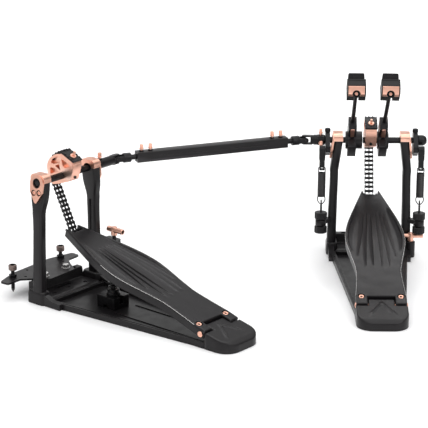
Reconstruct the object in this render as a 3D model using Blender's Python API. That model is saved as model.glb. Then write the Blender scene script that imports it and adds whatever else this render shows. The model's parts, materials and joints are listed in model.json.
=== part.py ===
"""Twin bass drum pedal: a main pedal with two beaters, a slave pedal and the drive shaft between them.

Dimensions are in millimetres and become metres when a mesh is made. Each pedal is built in its own frame:
the origin is on the floor under the middle of its axle, +X is the player's right, +Y points at the drum.
"""

import math

import bmesh
import bpy
from mathutils import Matrix, Vector

MM = 0.001
GAP = 0.3

# Driving dimensions
AXLE_Z = 188.8
AXLE_RADIUS = 5.2
BORE_RADIUS = 5.6
HINGE = Vector((0, -299, 20.4))
BOARD_SLOPE = math.radians(15.53)
BOARD_TOP = 8.45
BOARD_LENGTH = 302
HEEL_END = -352
BASE_FRONT_HALF = 62
BASE_HEEL_HALF = 38.5
BEATER_TILT = math.radians(43)
BEATER_X = {"left": -31.5, "right": 17.5}
BEATER_LEAN = {"left": 0.0, "right": math.radians(1.45)}
SPRING_X = 78.4
SPRING_Y = -20
CAM_HALF = 8.8
CHAIN_HALF = 7.15
CHAIN_PITCH = 7.1
CHAIN_X = {"main": -2, "slave": 0}
TUBE_START = 31.7
TUBE_HALF = 8.25
TUBE_BORE = 4.6
ROD_RADIUS = 4.2
MAIN_CROSS = Vector((-106, 0, AXLE_Z))
SLAVE_CROSS_X = 111
SLAVE_PLACE = Vector((-470.3, -199.1, 0))
SLAVE_TURN = math.radians(49.9)
SIDES = {"left": -1, "right": 1}

AXLE = Vector((0, 0, AXLE_Z))


# Materials

def material(name, colour, roughness, metallic):
    made = bpy.data.materials.new(name)
    made.use_nodes = True
    shader = made.node_tree.nodes["Principled BSDF"]
    shader.inputs["Base Color"].default_value = (*colour, 1)
    shader.inputs["Roughness"].default_value = roughness
    shader.inputs["Metallic"].default_value = metallic
    made.diffuse_color = (*colour, 1)
    return made


for old in list(bpy.data.objects):
    bpy.data.objects.remove(old)

BLACK = material("satin_black", (0.045, 0.042, 0.045), 0.45, 0.0)
STEEL_BLACK = material("black_steel", (0.02, 0.02, 0.021), 0.35, 0.6)
COPPER = material("satin_copper", (0.80, 0.42, 0.30), 0.3, 1.0)
CHAIN_BLACK = material("chain_black", (0.015, 0.015, 0.016), 0.4, 0.8)
FELT = material("black_felt", (0.02, 0.02, 0.02), 0.95, 0.0)
BRONZE = material("brown_bolt", (0.20, 0.15, 0.13), 0.4, 0.9)


# Shapes: each returns a closed bmesh in millimetres

def prism(outline, low, high, axis="X"):
    """Extrudes an outline along an axis. X takes (y, z) points, Y takes (x, z) and Z takes (x, y)."""
    order = {"X": (2, 0, 1), "Y": (0, 2, 1), "Z": (0, 1, 2)}[axis]
    made = bmesh.new()
    rings = []
    for level in (low, high):
        points = [(p[0], p[1], level) for p in outline]
        rings.append([made.verts.new([p[i] for i in order]) for p in points])
    count = len(outline)
    for i in range(count):
        j = (i + 1) % count
        made.faces.new((rings[0][i], rings[0][j], rings[1][j], rings[1][i]))
    made.faces.new(rings[0][::-1])
    made.faces.new(rings[1])
    bmesh.ops.recalc_face_normals(made, faces=made.faces)
    return made


def box(x, y, z):
    return prism([(x[0], y[0]), (x[1], y[0]), (x[1], y[1]), (x[0], y[1])], z[0], z[1], "Z")


def circle(radius, sides, centre=(0, 0), start=0.0):
    turn = 2 * math.pi / sides
    angles = [start + turn * i for i in range(sides)]
    return [(centre[0] + radius * math.cos(a), centre[1] + radius * math.sin(a)) for a in angles]


def arc(centre, radius, first, last, steps):
    """Points on an arc, angles in degrees."""
    angles = [math.radians(first + (last - first) * i / steps) for i in range(steps + 1)]
    return [(centre[0] + radius * math.cos(a), centre[1] + radius * math.sin(a)) for a in angles]


def frame_along(start, direction):
    """The matrix that takes +Z to direction and the origin to start."""
    turn = Vector((0, 0, 1)).rotation_difference(direction)
    return Matrix.Translation(start) @ turn.to_matrix().to_4x4()


def bar(start, end, radius, sides=16):
    """A round bar between two points."""
    start, end = Vector(start), Vector(end)
    made = prism(circle(radius, sides), 0, (end - start).length, "Z")
    made.transform(frame_along(start, end - start))
    return made


def lathe(profile, start, direction, sides=20):
    """Turns (radius, height) points about a line. An open profile ends on the axis; a ring's profile is closed."""
    made = bmesh.new()
    ring = profile[0][0] > 0
    loops = []
    for radius, height in profile:
        if radius == 0:
            loops.append([made.verts.new((0, 0, height))])
        else:
            loops.append([made.verts.new((*p, height)) for p in circle(radius, sides)])
    pairs = list(zip(loops, loops[1:] + loops[:1])) if ring else list(zip(loops, loops[1:]))
    for low, high in pairs:
        for i in range(sides):
            j = (i + 1) % sides
            corners = [low[i % len(low)], low[j % len(low)], high[j % len(high)], high[i % len(high)]]
            made.faces.new(list(dict.fromkeys(corners)))
    bmesh.ops.recalc_face_normals(made, faces=made.faces)
    made.transform(frame_along(Vector(start), Vector(direction)))
    return made


def loft(rings):
    """Joins rings of equally many points, with a cap at each end."""
    made = bmesh.new()
    loops = [[made.verts.new(p) for p in ring] for ring in rings]
    count = len(rings[0])
    for low, high in zip(loops, loops[1:]):
        for i in range(count):
            j = (i + 1) % count
            made.faces.new((low[i], low[j], high[j], high[i]))
    made.faces.new(loops[0][::-1])
    made.faces.new(loops[-1])
    bmesh.ops.recalc_face_normals(made, faces=made.faces)
    return made


def rounded_rectangle(half_x, half_y, radius, steps=2):
    corners = ((1, 1, 0), (-1, 1, 90), (-1, -1, 180), (1, -1, 270))
    points = []
    for sx, sy, first in corners:
        centre = (sx * (half_x - radius), sy * (half_y - radius))
        points += arc(centre, radius, first, first + 90, steps)
    return points


def moved(shape, matrix):
    shape.transform(matrix)
    return shape


def mirrored(shape, side):
    """The shape as made for the right side, or its mirror image for the left."""
    if side < 0:
        shape.transform(Matrix.Scale(-1, 4, (1, 0, 0)))
        bmesh.ops.reverse_faces(shape, faces=shape.faces)
    return shape


def temporary_object(shape):
    mesh = bpy.data.meshes.new("temporary")
    shape.to_mesh(mesh)
    shape.free()
    made = bpy.data.objects.new("temporary", mesh)
    bpy.context.scene.collection.objects.link(made)
    return made


def combine(base, others, operation):
    """Applies one exact Boolean for each other shape and returns the result."""
    helpers = [temporary_object(shape) for shape in [base, *others]]
    for helper in helpers[1:]:
        modifier = helpers[0].modifiers.new("combine", "BOOLEAN")
        modifier.operation = operation
        modifier.solver = "EXACT"
        modifier.object = helper
    graph = bpy.context.evaluated_depsgraph_get()
    evaluated = helpers[0].evaluated_get(graph)
    made = bmesh.new()
    made.from_mesh(evaluated.to_mesh())
    evaluated.to_mesh_clear()
    for helper in helpers:
        bpy.data.objects.remove(helper)
    bmesh.ops.remove_doubles(made, verts=made.verts, dist=0.002)
    return made


def fuse(*shapes):
    return combine(shapes[0], shapes[1:], "UNION")


def carve(shape, *cutters):
    return combine(shape, cutters, "DIFFERENCE")


# Objects

def empty(name, place, parent=None, turn=0.0):
    made = bpy.data.objects.new(name, None)
    made.empty_display_size = 0.02
    made.location = Vector(place) * MM
    made.rotation_euler = (0, 0, turn)
    made.parent = parent
    bpy.context.scene.collection.objects.link(made)
    return made


def node(name, shape, finish, parent, pivot=(0, 0, 0)):
    """Makes the object of one sub-part, with its origin at the pivot."""
    pivot = Vector(pivot)
    shape.transform(Matrix.Scale(MM, 4) @ Matrix.Translation(-pivot))
    mesh = bpy.data.meshes.new(name)
    shape.to_mesh(mesh)
    shape.free()
    mesh.materials.append(finish)
    made = bpy.data.objects.new(name, mesh)
    made.location = pivot * MM
    made.parent = parent
    bpy.context.scene.collection.objects.link(made)
    return made


# Base

def base_plate():
    """A tray with a raised rim that narrows towards the heel and runs on under the heel plate as a tongue."""
    front, back = -19.5, -308
    outline = [(BASE_FRONT_HALF, front), (BASE_HEEL_HALF, -285), (BASE_HEEL_HALF, back)]
    outline += [(-x, y) for x, y in reversed(outline)]
    floor = prism(outline, 0, 9, "Z")
    inner = [(BASE_FRONT_HALF - 8, front - 5), (BASE_HEEL_HALF - 6, -283), (BASE_HEEL_HALF - 6, back - 1)]
    inner += [(-x, y) for x, y in reversed(inner)]
    tray = carve(floor, prism(inner, 3, 10, "Z"))
    return fuse(tray, box((-28, 28), (-340, -306), (0, 3)))


def shoe(side):
    """The rounded foot that holds a post."""
    plan = rounded_rectangle(9.2, 17.5, 6, 3)
    return moved(prism(plan, 0, 20, "Z"), Matrix.Translation((side * 59, 3, 0)))


def cross_member(prefix):
    """The casting between the posts: a low shelf, a raised rear bar and a foot at each end."""
    profile = [(-19, 0), (-19, 6), (-14, 10), (18, 10), (20, 25), (32, 25), (32, 0)]
    casting = fuse(prism(profile, -52, 52, "X"), shoe(1), shoe(-1))
    cutters = [post_socket(side) for side in SIDES.values()]
    cutters.append(bar((0, -2, 4), (0, -2, 12), 2.2))
    if prefix == "main":
        casting = fuse(casting, box((62.3, 74), (-25, -10), (0, 25.6)), box((-30, 30), (31, 47), (0, 4)))
        cutters.append(bar((66.5, -17.5, 6), (66.5, -17.5, 27), 3.4))
    return carve(casting, *cutters)


def post_socket(side):
    plan = rounded_rectangle(7.2 + GAP, 9 + GAP, 3, 2)
    return moved(prism(plan, 4, 30, "Z"), Matrix.Translation((side * 60.2, 0, 0)))


def heel_plate():
    """The block under the heel, with a tongue that carries the hinge pin between the ears of the board."""
    radius = 24
    half = BASE_HEEL_HALF
    plan = [(half, -308.3 + GAP)]
    plan += arc((half - radius, HEEL_END + radius), radius, 0, -90, 6)
    plan += [(-x, y) for x, y in reversed(plan)]
    block = prism(plan, 0, 26, "Z")
    slope = prism([(-300, 26.5), (-346, 16.4), (-354, 11), (-360, 40), (-300, 40)], -50, 50, "X")
    under = box((-29, 29), (-341, -300), (-1, 3.3))
    tongue = prism([(-291, 12), (-292, 27.2), (-293.5, 27.9), (-300, 26.5), (-315, 23.2), (-315, 9), (-294, 9)],
                   -19.7, 19.7, "X")
    block = fuse(carve(block, slope, under), tongue)
    return carve(block, bar((-25, HINGE.y, HINGE.z), (25, HINGE.y, HINGE.z), 3.2))


def hinge_pin():
    profile = [(0, -39.4), (4.4, -39.4), (4.4, -37.8), (3, -37.8), (3, 37.8), (4.4, 37.8), (4.4, 39.4), (0, 39.4)]
    return lathe(profile, HINGE, (1, 0, 0), 16)


# Footboard, in its own frame: X across, Y along the board from the hinge, Z square to its top

BOARD_OUTLINE = [(37.5, -6), (37.8, 14), (35.5, 42), (34, 75), (36, 95), (40.5, 122), (44.6, 145), (46.2, 164),
                 (45, 184), (40.8, 208), (33.5, 235), (13.2, BOARD_LENGTH)]
BOARD_PLACE = Matrix.Translation(HINGE) @ Matrix.Rotation(BOARD_SLOPE, 4, "X")


def both_sides(half):
    return half + [(-x, y) for x, y in reversed(half)]


def footboard():
    slab = prism(both_sides(BOARD_OUTLINE), -5, BOARD_TOP, "Z")
    wall = 3.5
    hollow = [(x - wall, y) for x, y in BOARD_OUTLINE[2:-1]]
    hollow = [(hollow[0][0], 22), *hollow, (14, 280)]
    toe_notch = [(9.5, 320), (9.5, 292), (-9.5, 292), (-9.5, 320)]
    pointed = [(-12.8, BOARD_LENGTH + 2), (-9.6, 287), (9.6, 287), (12.8, BOARD_LENGTH + 2)]
    shape = carve(
        slab,
        prism(both_sides(hollow), -7, BOARD_TOP - 4, "Z"),
        prism(pointed, -7, BOARD_TOP + 2, "Z"),
        prism(toe_notch, -7, BOARD_TOP + 2, "Z"),
        box((-20.4, 20.4), (-9, 12.5), (-7, BOARD_TOP + 2)),
        bar((-40, 0, 0), (40, 0, 0), 3.2),
    )
    return moved(shape, BOARD_PLACE)


TOE = BOARD_PLACE @ Vector((0, 296, 1.5))


# Posts and bearing housings, made for the right side

def outer_face(z):
    """The outer face of a post above its bend, where it leans in towards the axle."""
    return 59.1 + 0.12 * (AXLE_Z - z)


def post_levels():
    """Centre x, height, half width in x and half depth in y of each station up a post."""
    levels = [(60.2, 4.3, 7.2, 9), (59.4, 60, 7, 9), (58.2, 112, 6.5, 8.8), (outer_face(148) - 6.7, 148, 6.7, 10)]
    for z, depth in ((160, 13.2), (172, 14.4), (AXLE_Z + 1, 14.2)):
        levels.append((outer_face(z) - 6.7, z, 6.7, depth))
    return levels


def post(prefix, side):
    rings = []
    for centre, z, half_x, half_y in post_levels():
        plan = rounded_rectangle(half_x, half_y, 3, 2)
        rings.append([(centre + x, y, z) for x, y in plan])
    shape = loft(rings)
    if prefix == "main":
        lug = prism(circle(8.6, 20, (SPRING_X, SPRING_Y)), 53, 62, "Z")
        arm = prism([(57, -6), (61, 2), (76, -12), (72, -19)], 54, 61, "Z")
        shape = carve(fuse(shape, arm, lug), bar((SPRING_X, SPRING_Y, 50), (SPRING_X, SPRING_Y, 65), 5))
    elif side > 0:
        shape = fuse(shape, box((60, 86), (-34, -6), (66, 72)))
        shape = carve(shape, bar((78, -24, 60), (78, -24, 75), 3.4))
    shape = carve(shape, bar((30, 0, AXLE_Z), (80, 0, AXLE_Z), BORE_RADIUS, 20))
    return mirrored(shape, side)


def housing(side):
    """A cap over the post head and a pointed plate down its outer face."""
    top = AXLE_Z + 13
    cap = [(14.5, AXLE_Z + 1 + GAP), *arc((7.5, top - 7), 7, 0, 90, 3), *arc((-7.5, top - 7), 7, 90, 180, 3)]
    cap.append((-14.5, AXLE_Z + 1 + GAP))
    plate = [*arc((0, AXLE_Z), 13.4, -12, 192, 12), (-12.4, AXLE_Z - 14), (-2, AXLE_Z - 30), (2, AXLE_Z - 30)]
    plate.append((12.4, AXLE_Z - 14))
    face = prism(plate, outer_face(AXLE_Z) + GAP, outer_face(AXLE_Z) + 3.3, "X")
    for vertex in face.verts:
        vertex.co.x += outer_face(vertex.co.z) - outer_face(AXLE_Z)
    shape = fuse(prism(cap, 45.6, outer_face(AXLE_Z) + 1.2, "X"), face)
    shape = carve(shape, bar((30, 0, AXLE_Z), (80, 0, AXLE_Z), BORE_RADIUS, 20))
    return mirrored(shape, side)


# Rotor: axle, cam and the chain that lies on it

def hex_bar(low, high, radius=AXLE_RADIUS):
    return moved(prism(circle(radius, 6), low, high, "X"), Matrix.Translation(AXLE))


def main_axle():
    """The main rotor's axle, with the domed cap screwed on its end."""
    profile = [(0, 73.5), (8.6, 73.5), (8.6, 82), (7.4, 86), (4.5, 88), (0, 88.4)]
    return fuse(hex_bar(-13.5, 74.5), lathe(profile, AXLE, (1, 0, 0), 20))


def slave_axle():
    """The slave rotor's axle, with the yoke of the universal joint pinned on its end."""
    centre = Vector((SLAVE_CROSS_X, 0, AXLE_Z))
    fork = moved(yoke(44, "Z", False), joint_frame(centre, Vector((-1, 0, 0))))
    return fuse(hex_bar(-61, SLAVE_CROSS_X - 34), fork)


CAM_OUTLINE = [(-17, -5.5), (-5.5, -9.5), (9.5, -15), (21, -17.5), (28, -8), (31.5, 4), (30.5, 14), (25, 23),
               (14, 30.5), (0, 34), (-24.5, 23.5), (-23, 12)]
CHAIN_PATH = [(-1, 36.4), (9.5, 33.4), (19, 27), (26.5, 17.5), (30, 7), (30, 0.6)]
CAM_WINDOWS = ([(-19, 19.5), (-9, 24), (-9, 9), (-17, 5)], [(-4.5, 26.5), (6, 26), (12.5, 20.5), (-1, 11.5)],
               [(11.5, 8), (20, 15), (23, 4), (17, -10), (9, -9)])


def offset_path(path, distance):
    """The path moved sideways, to its right when the distance is positive."""
    points = []
    for i, (y, z) in enumerate(path):
        before = Vector(path[max(i - 1, 0)])
        after = Vector(path[min(i + 1, len(path) - 1)])
        along = (after - before).normalized()
        points.append((y + along.y * distance, z - along.x * distance))
    return points


def cam():
    outer = prism(CAM_OUTLINE, -CAM_HALF, CAM_HALF, "X")
    floor = offset_path(CHAIN_PATH, 3.4)
    channel = [*floor, (9, -32), (60, -32), (60, 60), (-1, 60)]
    shape = carve(
        outer,
        prism(channel, -CHAIN_HALF - 0.35, CHAIN_HALF + 0.35, "X"),
        *[prism(window, -20, 20, "X") for window in CAM_WINDOWS],
        prism(circle(BORE_RADIUS, 6), -20, 20, "X"),
    )
    return moved(shape, Matrix.Translation(AXLE))


def cam_chain():
    """The strap on the slope of the cam and the stretch of chain that lies round its drum side."""
    above = offset_path(CHAIN_PATH, -3)
    below = offset_path(CHAIN_PATH, 3)
    strap = [(-25.2, 26.6), (-1, 37.6), (0.3, 34.8), (-24, 24.2)]
    strap_bar = prism(strap, -CAM_HALF + 1, CAM_HALF - 1, "X")
    chain = prism([*above, *reversed(below)], -CHAIN_HALF, CHAIN_HALF, "X")
    return moved(fuse(strap_bar, chain), Matrix.Translation(AXLE))


STRAND_TOP = AXLE + Vector((0, 30, 0))


def chain_strand():
    """A double-row chain as three rails of plates joined by a roller at each pitch."""
    length = (STRAND_TOP - TOE).length
    count = round(length / CHAIN_PITCH)
    pitch = length / count
    outline = [(3, 0.5), (3, length - 5.5), (1.4, length - 3.2), (-1.4, length - 3.2), (-3, length - 5.5), (-3, 0.5)]
    rails = [prism(outline, x - 0.9, x + 0.9, "X") for x in (-6.2, 0, 6.2)]
    rollers = [box((-6.5, 6.5), (-1.7, 1.7), (pitch * i - 1.7, pitch * i + 1.7)) for i in range(1, count)]
    shape = fuse(*rails, *rollers)
    direction = STRAND_TOP - TOE
    lean = Matrix.Rotation(-math.atan2(direction.y, direction.z), 4, "X")
    return moved(shape, Matrix.Translation(TOE) @ lean)


# Under-board spring

BOARD_SPRING_Y = -95


def spring_block():
    lower = box((-17, 17), (-112, -76), (3 + GAP, 22))
    upper = prism(circle(9, 16, (0, BOARD_SPRING_Y)), 20, 30, "Z")
    return fuse(lower, upper)


def board_spring():
    return prism(circle(8, 16, (0, BOARD_SPRING_Y)), 30 + GAP, 78, "Z")


# Stays of the pedal that both units share

def build_pedal(prefix, frame):
    pivots = {
        "treadle": empty(prefix + "_treadle_axis", HINGE, frame),
        "rotor": empty(prefix + "_rotor_axis", AXLE, frame),
        "chain": empty(prefix + "_chain_axis", TOE, frame),
    }

    def place(name, shape, finish, pivot=None):
        made = node(f"{prefix}_{name}", shape, finish, frame)
        if pivot:
            holder = pivots[pivot]
            made.data.transform(Matrix.Translation(-holder.location))
            made.parent = holder

    place("base_plate", base_plate(), BLACK)
    place("cross_member", cross_member(prefix), BLACK)
    place("heel_plate", heel_plate(), BLACK)
    place("hinge_pin", hinge_pin(), COPPER)
    place("spring_block", spring_block(), STEEL_BLACK)
    place("board_spring", board_spring(), STEEL_BLACK)
    for name, side in SIDES.items():
        place("post_" + name, post(prefix, side), BLACK)
        place("housing_" + name, housing(side), COPPER)
    place("footboard", footboard(), BLACK, "treadle")
    along_axle = Matrix.Translation((CHAIN_X[prefix], 0, 0))
    place("chain", moved(chain_strand(), along_axle), CHAIN_BLACK, "chain")
    place("cam", moved(cam(), along_axle), COPPER, "rotor")
    place("cam_chain", moved(cam_chain(), along_axle), CHAIN_BLACK, "rotor")
    place("axle", main_axle() if prefix == "main" else slave_axle(), STEEL_BLACK, "rotor")


# Beaters of the main pedal, in their own frame: X across, Y along the strike, Z along the rod

BEATER_PLACE = Matrix.Translation(AXLE) @ Matrix.Rotation(BEATER_TILT, 4, "X")
ROD_OFFSET = 10
HEAD_CENTRE = (17, 131)


def beater_bore(high):
    return bar((0, ROD_OFFSET, -40), (0, ROD_OFFSET, high), 3.5)


def beater_holder(side_name):
    x = BEATER_X[side_name]
    lean = Matrix.Rotation(BEATER_LEAN[side_name], 4, "Y")
    clamp = prism([(-3, 6), (-3, 37), (1, 41), (17, 41), (20, 38), (20, 6)], -6.4, 6.4, "X")
    hub_side = [(-17, 12), (-20, 8), (-20, -18), (-16, -22), (12, -22), (16, -18), (18, 12)]
    block = fuse(clamp, prism(hub_side, -6.4, 6.4, "X"))
    sleeve = (x - 9.5, -15) if side_name == "left" else (9.2, x + 9)
    block = fuse(block, prism(circle(14, 20), sleeve[0] - x, sleeve[1] - x, "X"))
    block = carve(block, moved(beater_bore(60), lean), prism(circle(BORE_RADIUS, 6, start=-BEATER_TILT), -20, 25, "X"))
    return moved(block, Matrix.Translation((x, 0, 0)) @ BEATER_PLACE)


def beater_rod():
    return bar((0, ROD_OFFSET, -4), (0, ROD_OFFSET, 129.6), 3.2)


def head_outline(low, high, along_low, along_high):
    y, z = HEAD_CENTRE
    return [(y + low, z + along_low), (y + high, z + along_low), (y + high, z + along_high), (y + low, z + along_high)]


def beater_head():
    block = prism(head_outline(-17, 5, -13.5, 13.5), -14.5, 14.5, "X")
    pocket = prism(head_outline(-18, -7.2, 0.4, 15), -12.9, 12.9, "X")
    return carve(block, pocket, beater_bore(130))


def beater_cap():
    return prism(head_outline(-17.5, -7.5, 0.7, 13.9), -12.6, 12.6, "X")


def beater_felt():
    return prism(head_outline(5.3, 17, -13.5, 13.5), -12.6, 12.6, "X")


def build_beater(side_name, frame):
    """The head slides in its holder along the rod."""
    x = BEATER_X[side_name]
    lean = Matrix.Rotation(BEATER_LEAN[side_name], 4, "Y")
    matrix = Matrix.Translation((x, 0, 0)) @ BEATER_PLACE @ lean
    pivot = matrix @ Vector((0, ROD_OFFSET, 41))
    pieces = (("rod", beater_rod, STEEL_BLACK), ("head", beater_head, BLACK), ("cap", beater_cap, COPPER),
              ("felt", beater_felt, FELT))
    for name, make, finish in pieces:
        node(f"{side_name}_beater_{name}", moved(make(), matrix), finish, frame, pivot)
    node(f"{side_name}_beater_holder", beater_holder(side_name), BLACK, frame, AXLE)


# Side springs of the main pedal, made for the right side

HOOK_TOP = AXLE_Z - 4
HOOK_BOTTOM = AXLE_Z - 44
PIN_PLACE = (SPRING_Y, AXLE_Z - 10)


def rocker(side):
    body = [(-24, -14), (-19, -15.5), (-8, -24), (8, -24), (13, -10), (13, 8), (7, 13), (-7, 13), (-24, -5)]
    plate = moved(prism(body, 66, 73.2, "X"), Matrix.Translation(AXLE))
    knob = bar((69.6, 0, AXLE_Z + 11), (69.6, 0, AXLE_Z + 19.5), 4.6)
    pin = bar((70, *PIN_PLACE), (83, *PIN_PLACE), 2.4)
    shape = fuse(plate, knob, pin)
    shape = carve(shape, moved(prism(circle(BORE_RADIUS, 6), 50, 90, "X"), Matrix.Translation(AXLE)))
    return mirrored(shape, side)


def spring_hook(side):
    """Hangs on the rocker's pin. The slot leaves room for the small fore and aft swing of the pin."""
    block = box((73.5, 83.3), (-28.5, -13.5), (HOOK_BOTTOM, HOOK_TOP))
    y, z = PIN_PLACE
    slot = [*arc((y + 0.6, z), 2.9, 90, -90, 6), *arc((y - 3, z), 2.9, 270, 90, 6)]
    return mirrored(carve(block, prism(slot, 70, 90, "X")), side)


def side_spring(side):
    """The wound stretch with the ends of its two hooks."""
    low, high = AXLE_Z - 89, AXLE_Z - 47.5
    profile = [(0, low - 3.8), (1.6, low - 3.8), (1.6, low), (6.4, low), (6.4, high), (1.6, high)]
    profile += [(1.6, HOOK_BOTTOM - 0.5), (0, HOOK_BOTTOM - 0.5)]
    return lathe(profile, (side * SPRING_X, SPRING_Y, 0), (0, 0, 1), 16)


def eye_bolt(side):
    centre = (side * SPRING_X, SPRING_Y)
    top = AXLE_Z - 98
    stem = bar((*centre, 44), (*centre, top - 2.5), 1.8, 12)
    eye = lathe([(2, -1.5), (4.6, -1.5), (4.6, 1.5), (2, 1.5)], (*centre, top), (0, 1, 0), 16)
    return fuse(stem, eye)


def spring_adjuster(side):
    """Two knurled nuts on one sleeve that turns in the lug of the post."""
    profile = [(2.3, 40.5), (10, 40.5), (10, 51.5), (4.6, 51.5), (4.6, 63.5), (10, 63.5), (10, 74.5), (2.3, 74.5)]
    return lathe(profile, (side * SPRING_X, SPRING_Y, 0), (0, 0, 1), 20)


def build_side_spring(side_name, frame):
    side = SIDES[side_name]
    centre = (side * SPRING_X, SPRING_Y, 57.5)
    node(side_name + "_rocker", rocker(side), STEEL_BLACK, frame, AXLE)
    node(side_name + "_spring_hook", spring_hook(side), STEEL_BLACK, frame, (side * SPRING_X, *PIN_PLACE))
    node(side_name + "_side_spring", side_spring(side), STEEL_BLACK, frame)
    node(side_name + "_spring_eye", eye_bolt(side), STEEL_BLACK, frame)
    node(side_name + "_spring_adjuster", spring_adjuster(side), STEEL_BLACK, frame, centre)


# T-bolts, hoop clamp and stabiliser

def t_bolt(foot, top, along, offset, radius):
    """A stem that turns in its lug, with a cross bar through its head."""
    foot, along = Vector(foot), Vector(along)
    head = Vector((foot.x, foot.y, top))
    stem = fuse(bar(foot, head, 3, 12), bar(head - Vector((0, 0, 9)), head + Vector((0, 0, 5)), 4.8, 16))
    middle = head + along * offset
    return fuse(stem, bar(middle - along * 15.5, middle + along * 15.5, radius, 16))


def hoop_jaw():
    """Closes on the drum hoop above the front lip."""
    profile = [(33.5, 14.5), (38, 12), (46, 12.5), (46, 16.5), (40, 20), (33.5, 22)]
    return prism(profile, -24, 24, "X")


STABILISER_TURN = Matrix.Translation((-2.7, 45, 0)) @ Matrix.Rotation(math.radians(4.3), 4, "Z")
SPUR_X = 55.8
SPUR_Y = 17.4


def stabiliser_plate():
    half = [(28, -35), (44, -12), (57, 2), (83, 2), (84, 18), (62, 24), (40, 29)]
    plate = prism(both_sides(half), 25.3, 28.3, "Z")
    holes = [bar((side * SPUR_X, SPUR_Y, 20), (side * SPUR_X, SPUR_Y, 32), 3.5) for side in SIDES.values()]
    return moved(carve(plate, *holes), STABILISER_TURN)


def spur_bolt(side):
    """A pointed screw through the plate, with a knurled head."""
    profile = [(0, 3), (3, 9), (3, 39), (6.4, 39), (6.4, 47.5), (0, 47.5)]
    foot = STABILISER_TURN @ Vector((side * SPUR_X, SPUR_Y, 0))
    return lathe(profile, foot, (0, 0, 1), 16)


def build_clamps(main, slave):
    node("main_t_bolt", t_bolt((66.5, -17.5, 8), 35, (1, 0, 0), 4.2, 3.7), COPPER, main, (66.5, -17.5, 35))
    node("main_hoop_jaw", hoop_jaw(), BLACK, main, (0, 33.5, 18))
    node("slave_t_bolt", t_bolt((78, -24, 62), 87, (0, 1, 0), -3, 4.4), COPPER, slave, (78, -24, 87))
    node("slave_stabiliser_plate", stabiliser_plate(), BLACK, slave)
    for name, side in SIDES.items():
        foot = STABILISER_TURN @ Vector((side * SPUR_X, SPUR_Y, 0))
        node("slave_spur_bolt_" + name, spur_bolt(side), BRONZE, slave, foot)


# Drive shaft. A yoke lies along +X from the middle of its joint; its prongs stand off along one axis.

def yoke(length, prongs, with_cross):
    """A fork on a round hub. The one that carries the cross holds a ball on two pins."""
    hub = bar((10.5, 0, 0), (length, 0, 0), 7.5, 20)
    arms = [box((-3.6, 12), (-2.9, 2.9), sorted((4.9 * s, 7.4 * s))) for s in (-1, 1)]
    shape = fuse(hub, *arms)
    if with_cross:
        ball = lathe([(0, -4.3), (3, -3.1), (4.3, 0), (3, 3.1), (0, 4.3)], (0, 0, 0), (0, 0, 1), 12)
        shape = fuse(shape, ball, bar((0, 0, -7), (0, 0, 7), 2, 12))
    if prongs == "Y":
        shape.transform(Matrix.Rotation(math.pi / 2, 4, "X"))
    return shape


def joint_frame(centre, direction):
    """Takes +X to a level direction, at the middle of a joint."""
    turn = math.atan2(direction.y, direction.x)
    return Matrix.Translation(centre) @ Matrix.Rotation(turn, 4, "Z")


def shaft_ends():
    slave_frame = Matrix.Translation(SLAVE_PLACE) @ Matrix.Rotation(SLAVE_TURN, 4, "Z")
    slave_cross = slave_frame @ Vector((SLAVE_CROSS_X, 0, AXLE_Z))
    return MAIN_CROSS, slave_cross


def drive_socket():
    """The left rotor's axle, with the socket and the joint's first yoke pinned on its end."""
    fork = moved(yoke(32.5, "Z", False), joint_frame(MAIN_CROSS, Vector((1, 0, 0))))
    collar = bar((-92, 0, AXLE_Z), (-73.5, 0, AXLE_Z), 8.2, 20)
    return fuse(fork, collar, hex_bar(-80, -15))


def inner_rod(centre, direction, reach):
    shape = fuse(yoke(22.5, "Y", True), bar((20, 0, 0), (reach, 0, 0), ROD_RADIUS, 16))
    return moved(shape, joint_frame(centre, direction))


def drive_tube(start, direction, length):
    outer = prism(rounded_rectangle(TUBE_HALF, TUBE_HALF, 1.5, 1), TUBE_START, length - TUBE_START, "X")
    shape = carve(outer, bar((0, 0, 0), (length, 0, 0), TUBE_BORE, 20))
    return moved(shape, joint_frame(start, direction))


def build_drive(main, slave):
    start, end = shaft_ends()
    along = end - start
    length = along.length
    shaft = empty("drive_shaft_axis", start, main)
    axis = empty("slave_rod_axis", end, main)
    node("drive_tube", drive_tube(start, along, length), BLACK, shaft, start).location = (0, 0, 0)
    node("shaft_rod_main", inner_rod(start, along, 112), STEEL_BLACK, shaft, start).location = (0, 0, 0)
    node("shaft_rod_slave", inner_rod(end, -along, 124), STEEL_BLACK, axis, end).location = (0, 0, 0)
    node("drive_socket", drive_socket(), STEEL_BLACK, main, AXLE)


def main():
    main_frame = empty("main_pedal", (0, 0, 0))
    slave_frame = empty("slave_pedal", SLAVE_PLACE, None, SLAVE_TURN)
    build_pedal("main", main_frame)
    build_pedal("slave", slave_frame)
    for side_name in SIDES:
        build_beater(side_name, main_frame)
        build_side_spring(side_name, main_frame)
    build_clamps(main_frame, slave_frame)
    build_drive(main_frame, slave_frame)


main()
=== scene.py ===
"""Looks of a twin bass drum pedal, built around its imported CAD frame.

Shapes are made in millimetres in the frame of one pedal: the origin is on the floor under the middle of the
axle, +X is the player's right and +Y points at the drum. show() turns them into metres in the row's frame.
"""

import json
import math

import bmesh
import bpy
from mathutils import Matrix, Vector, geometry


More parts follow.
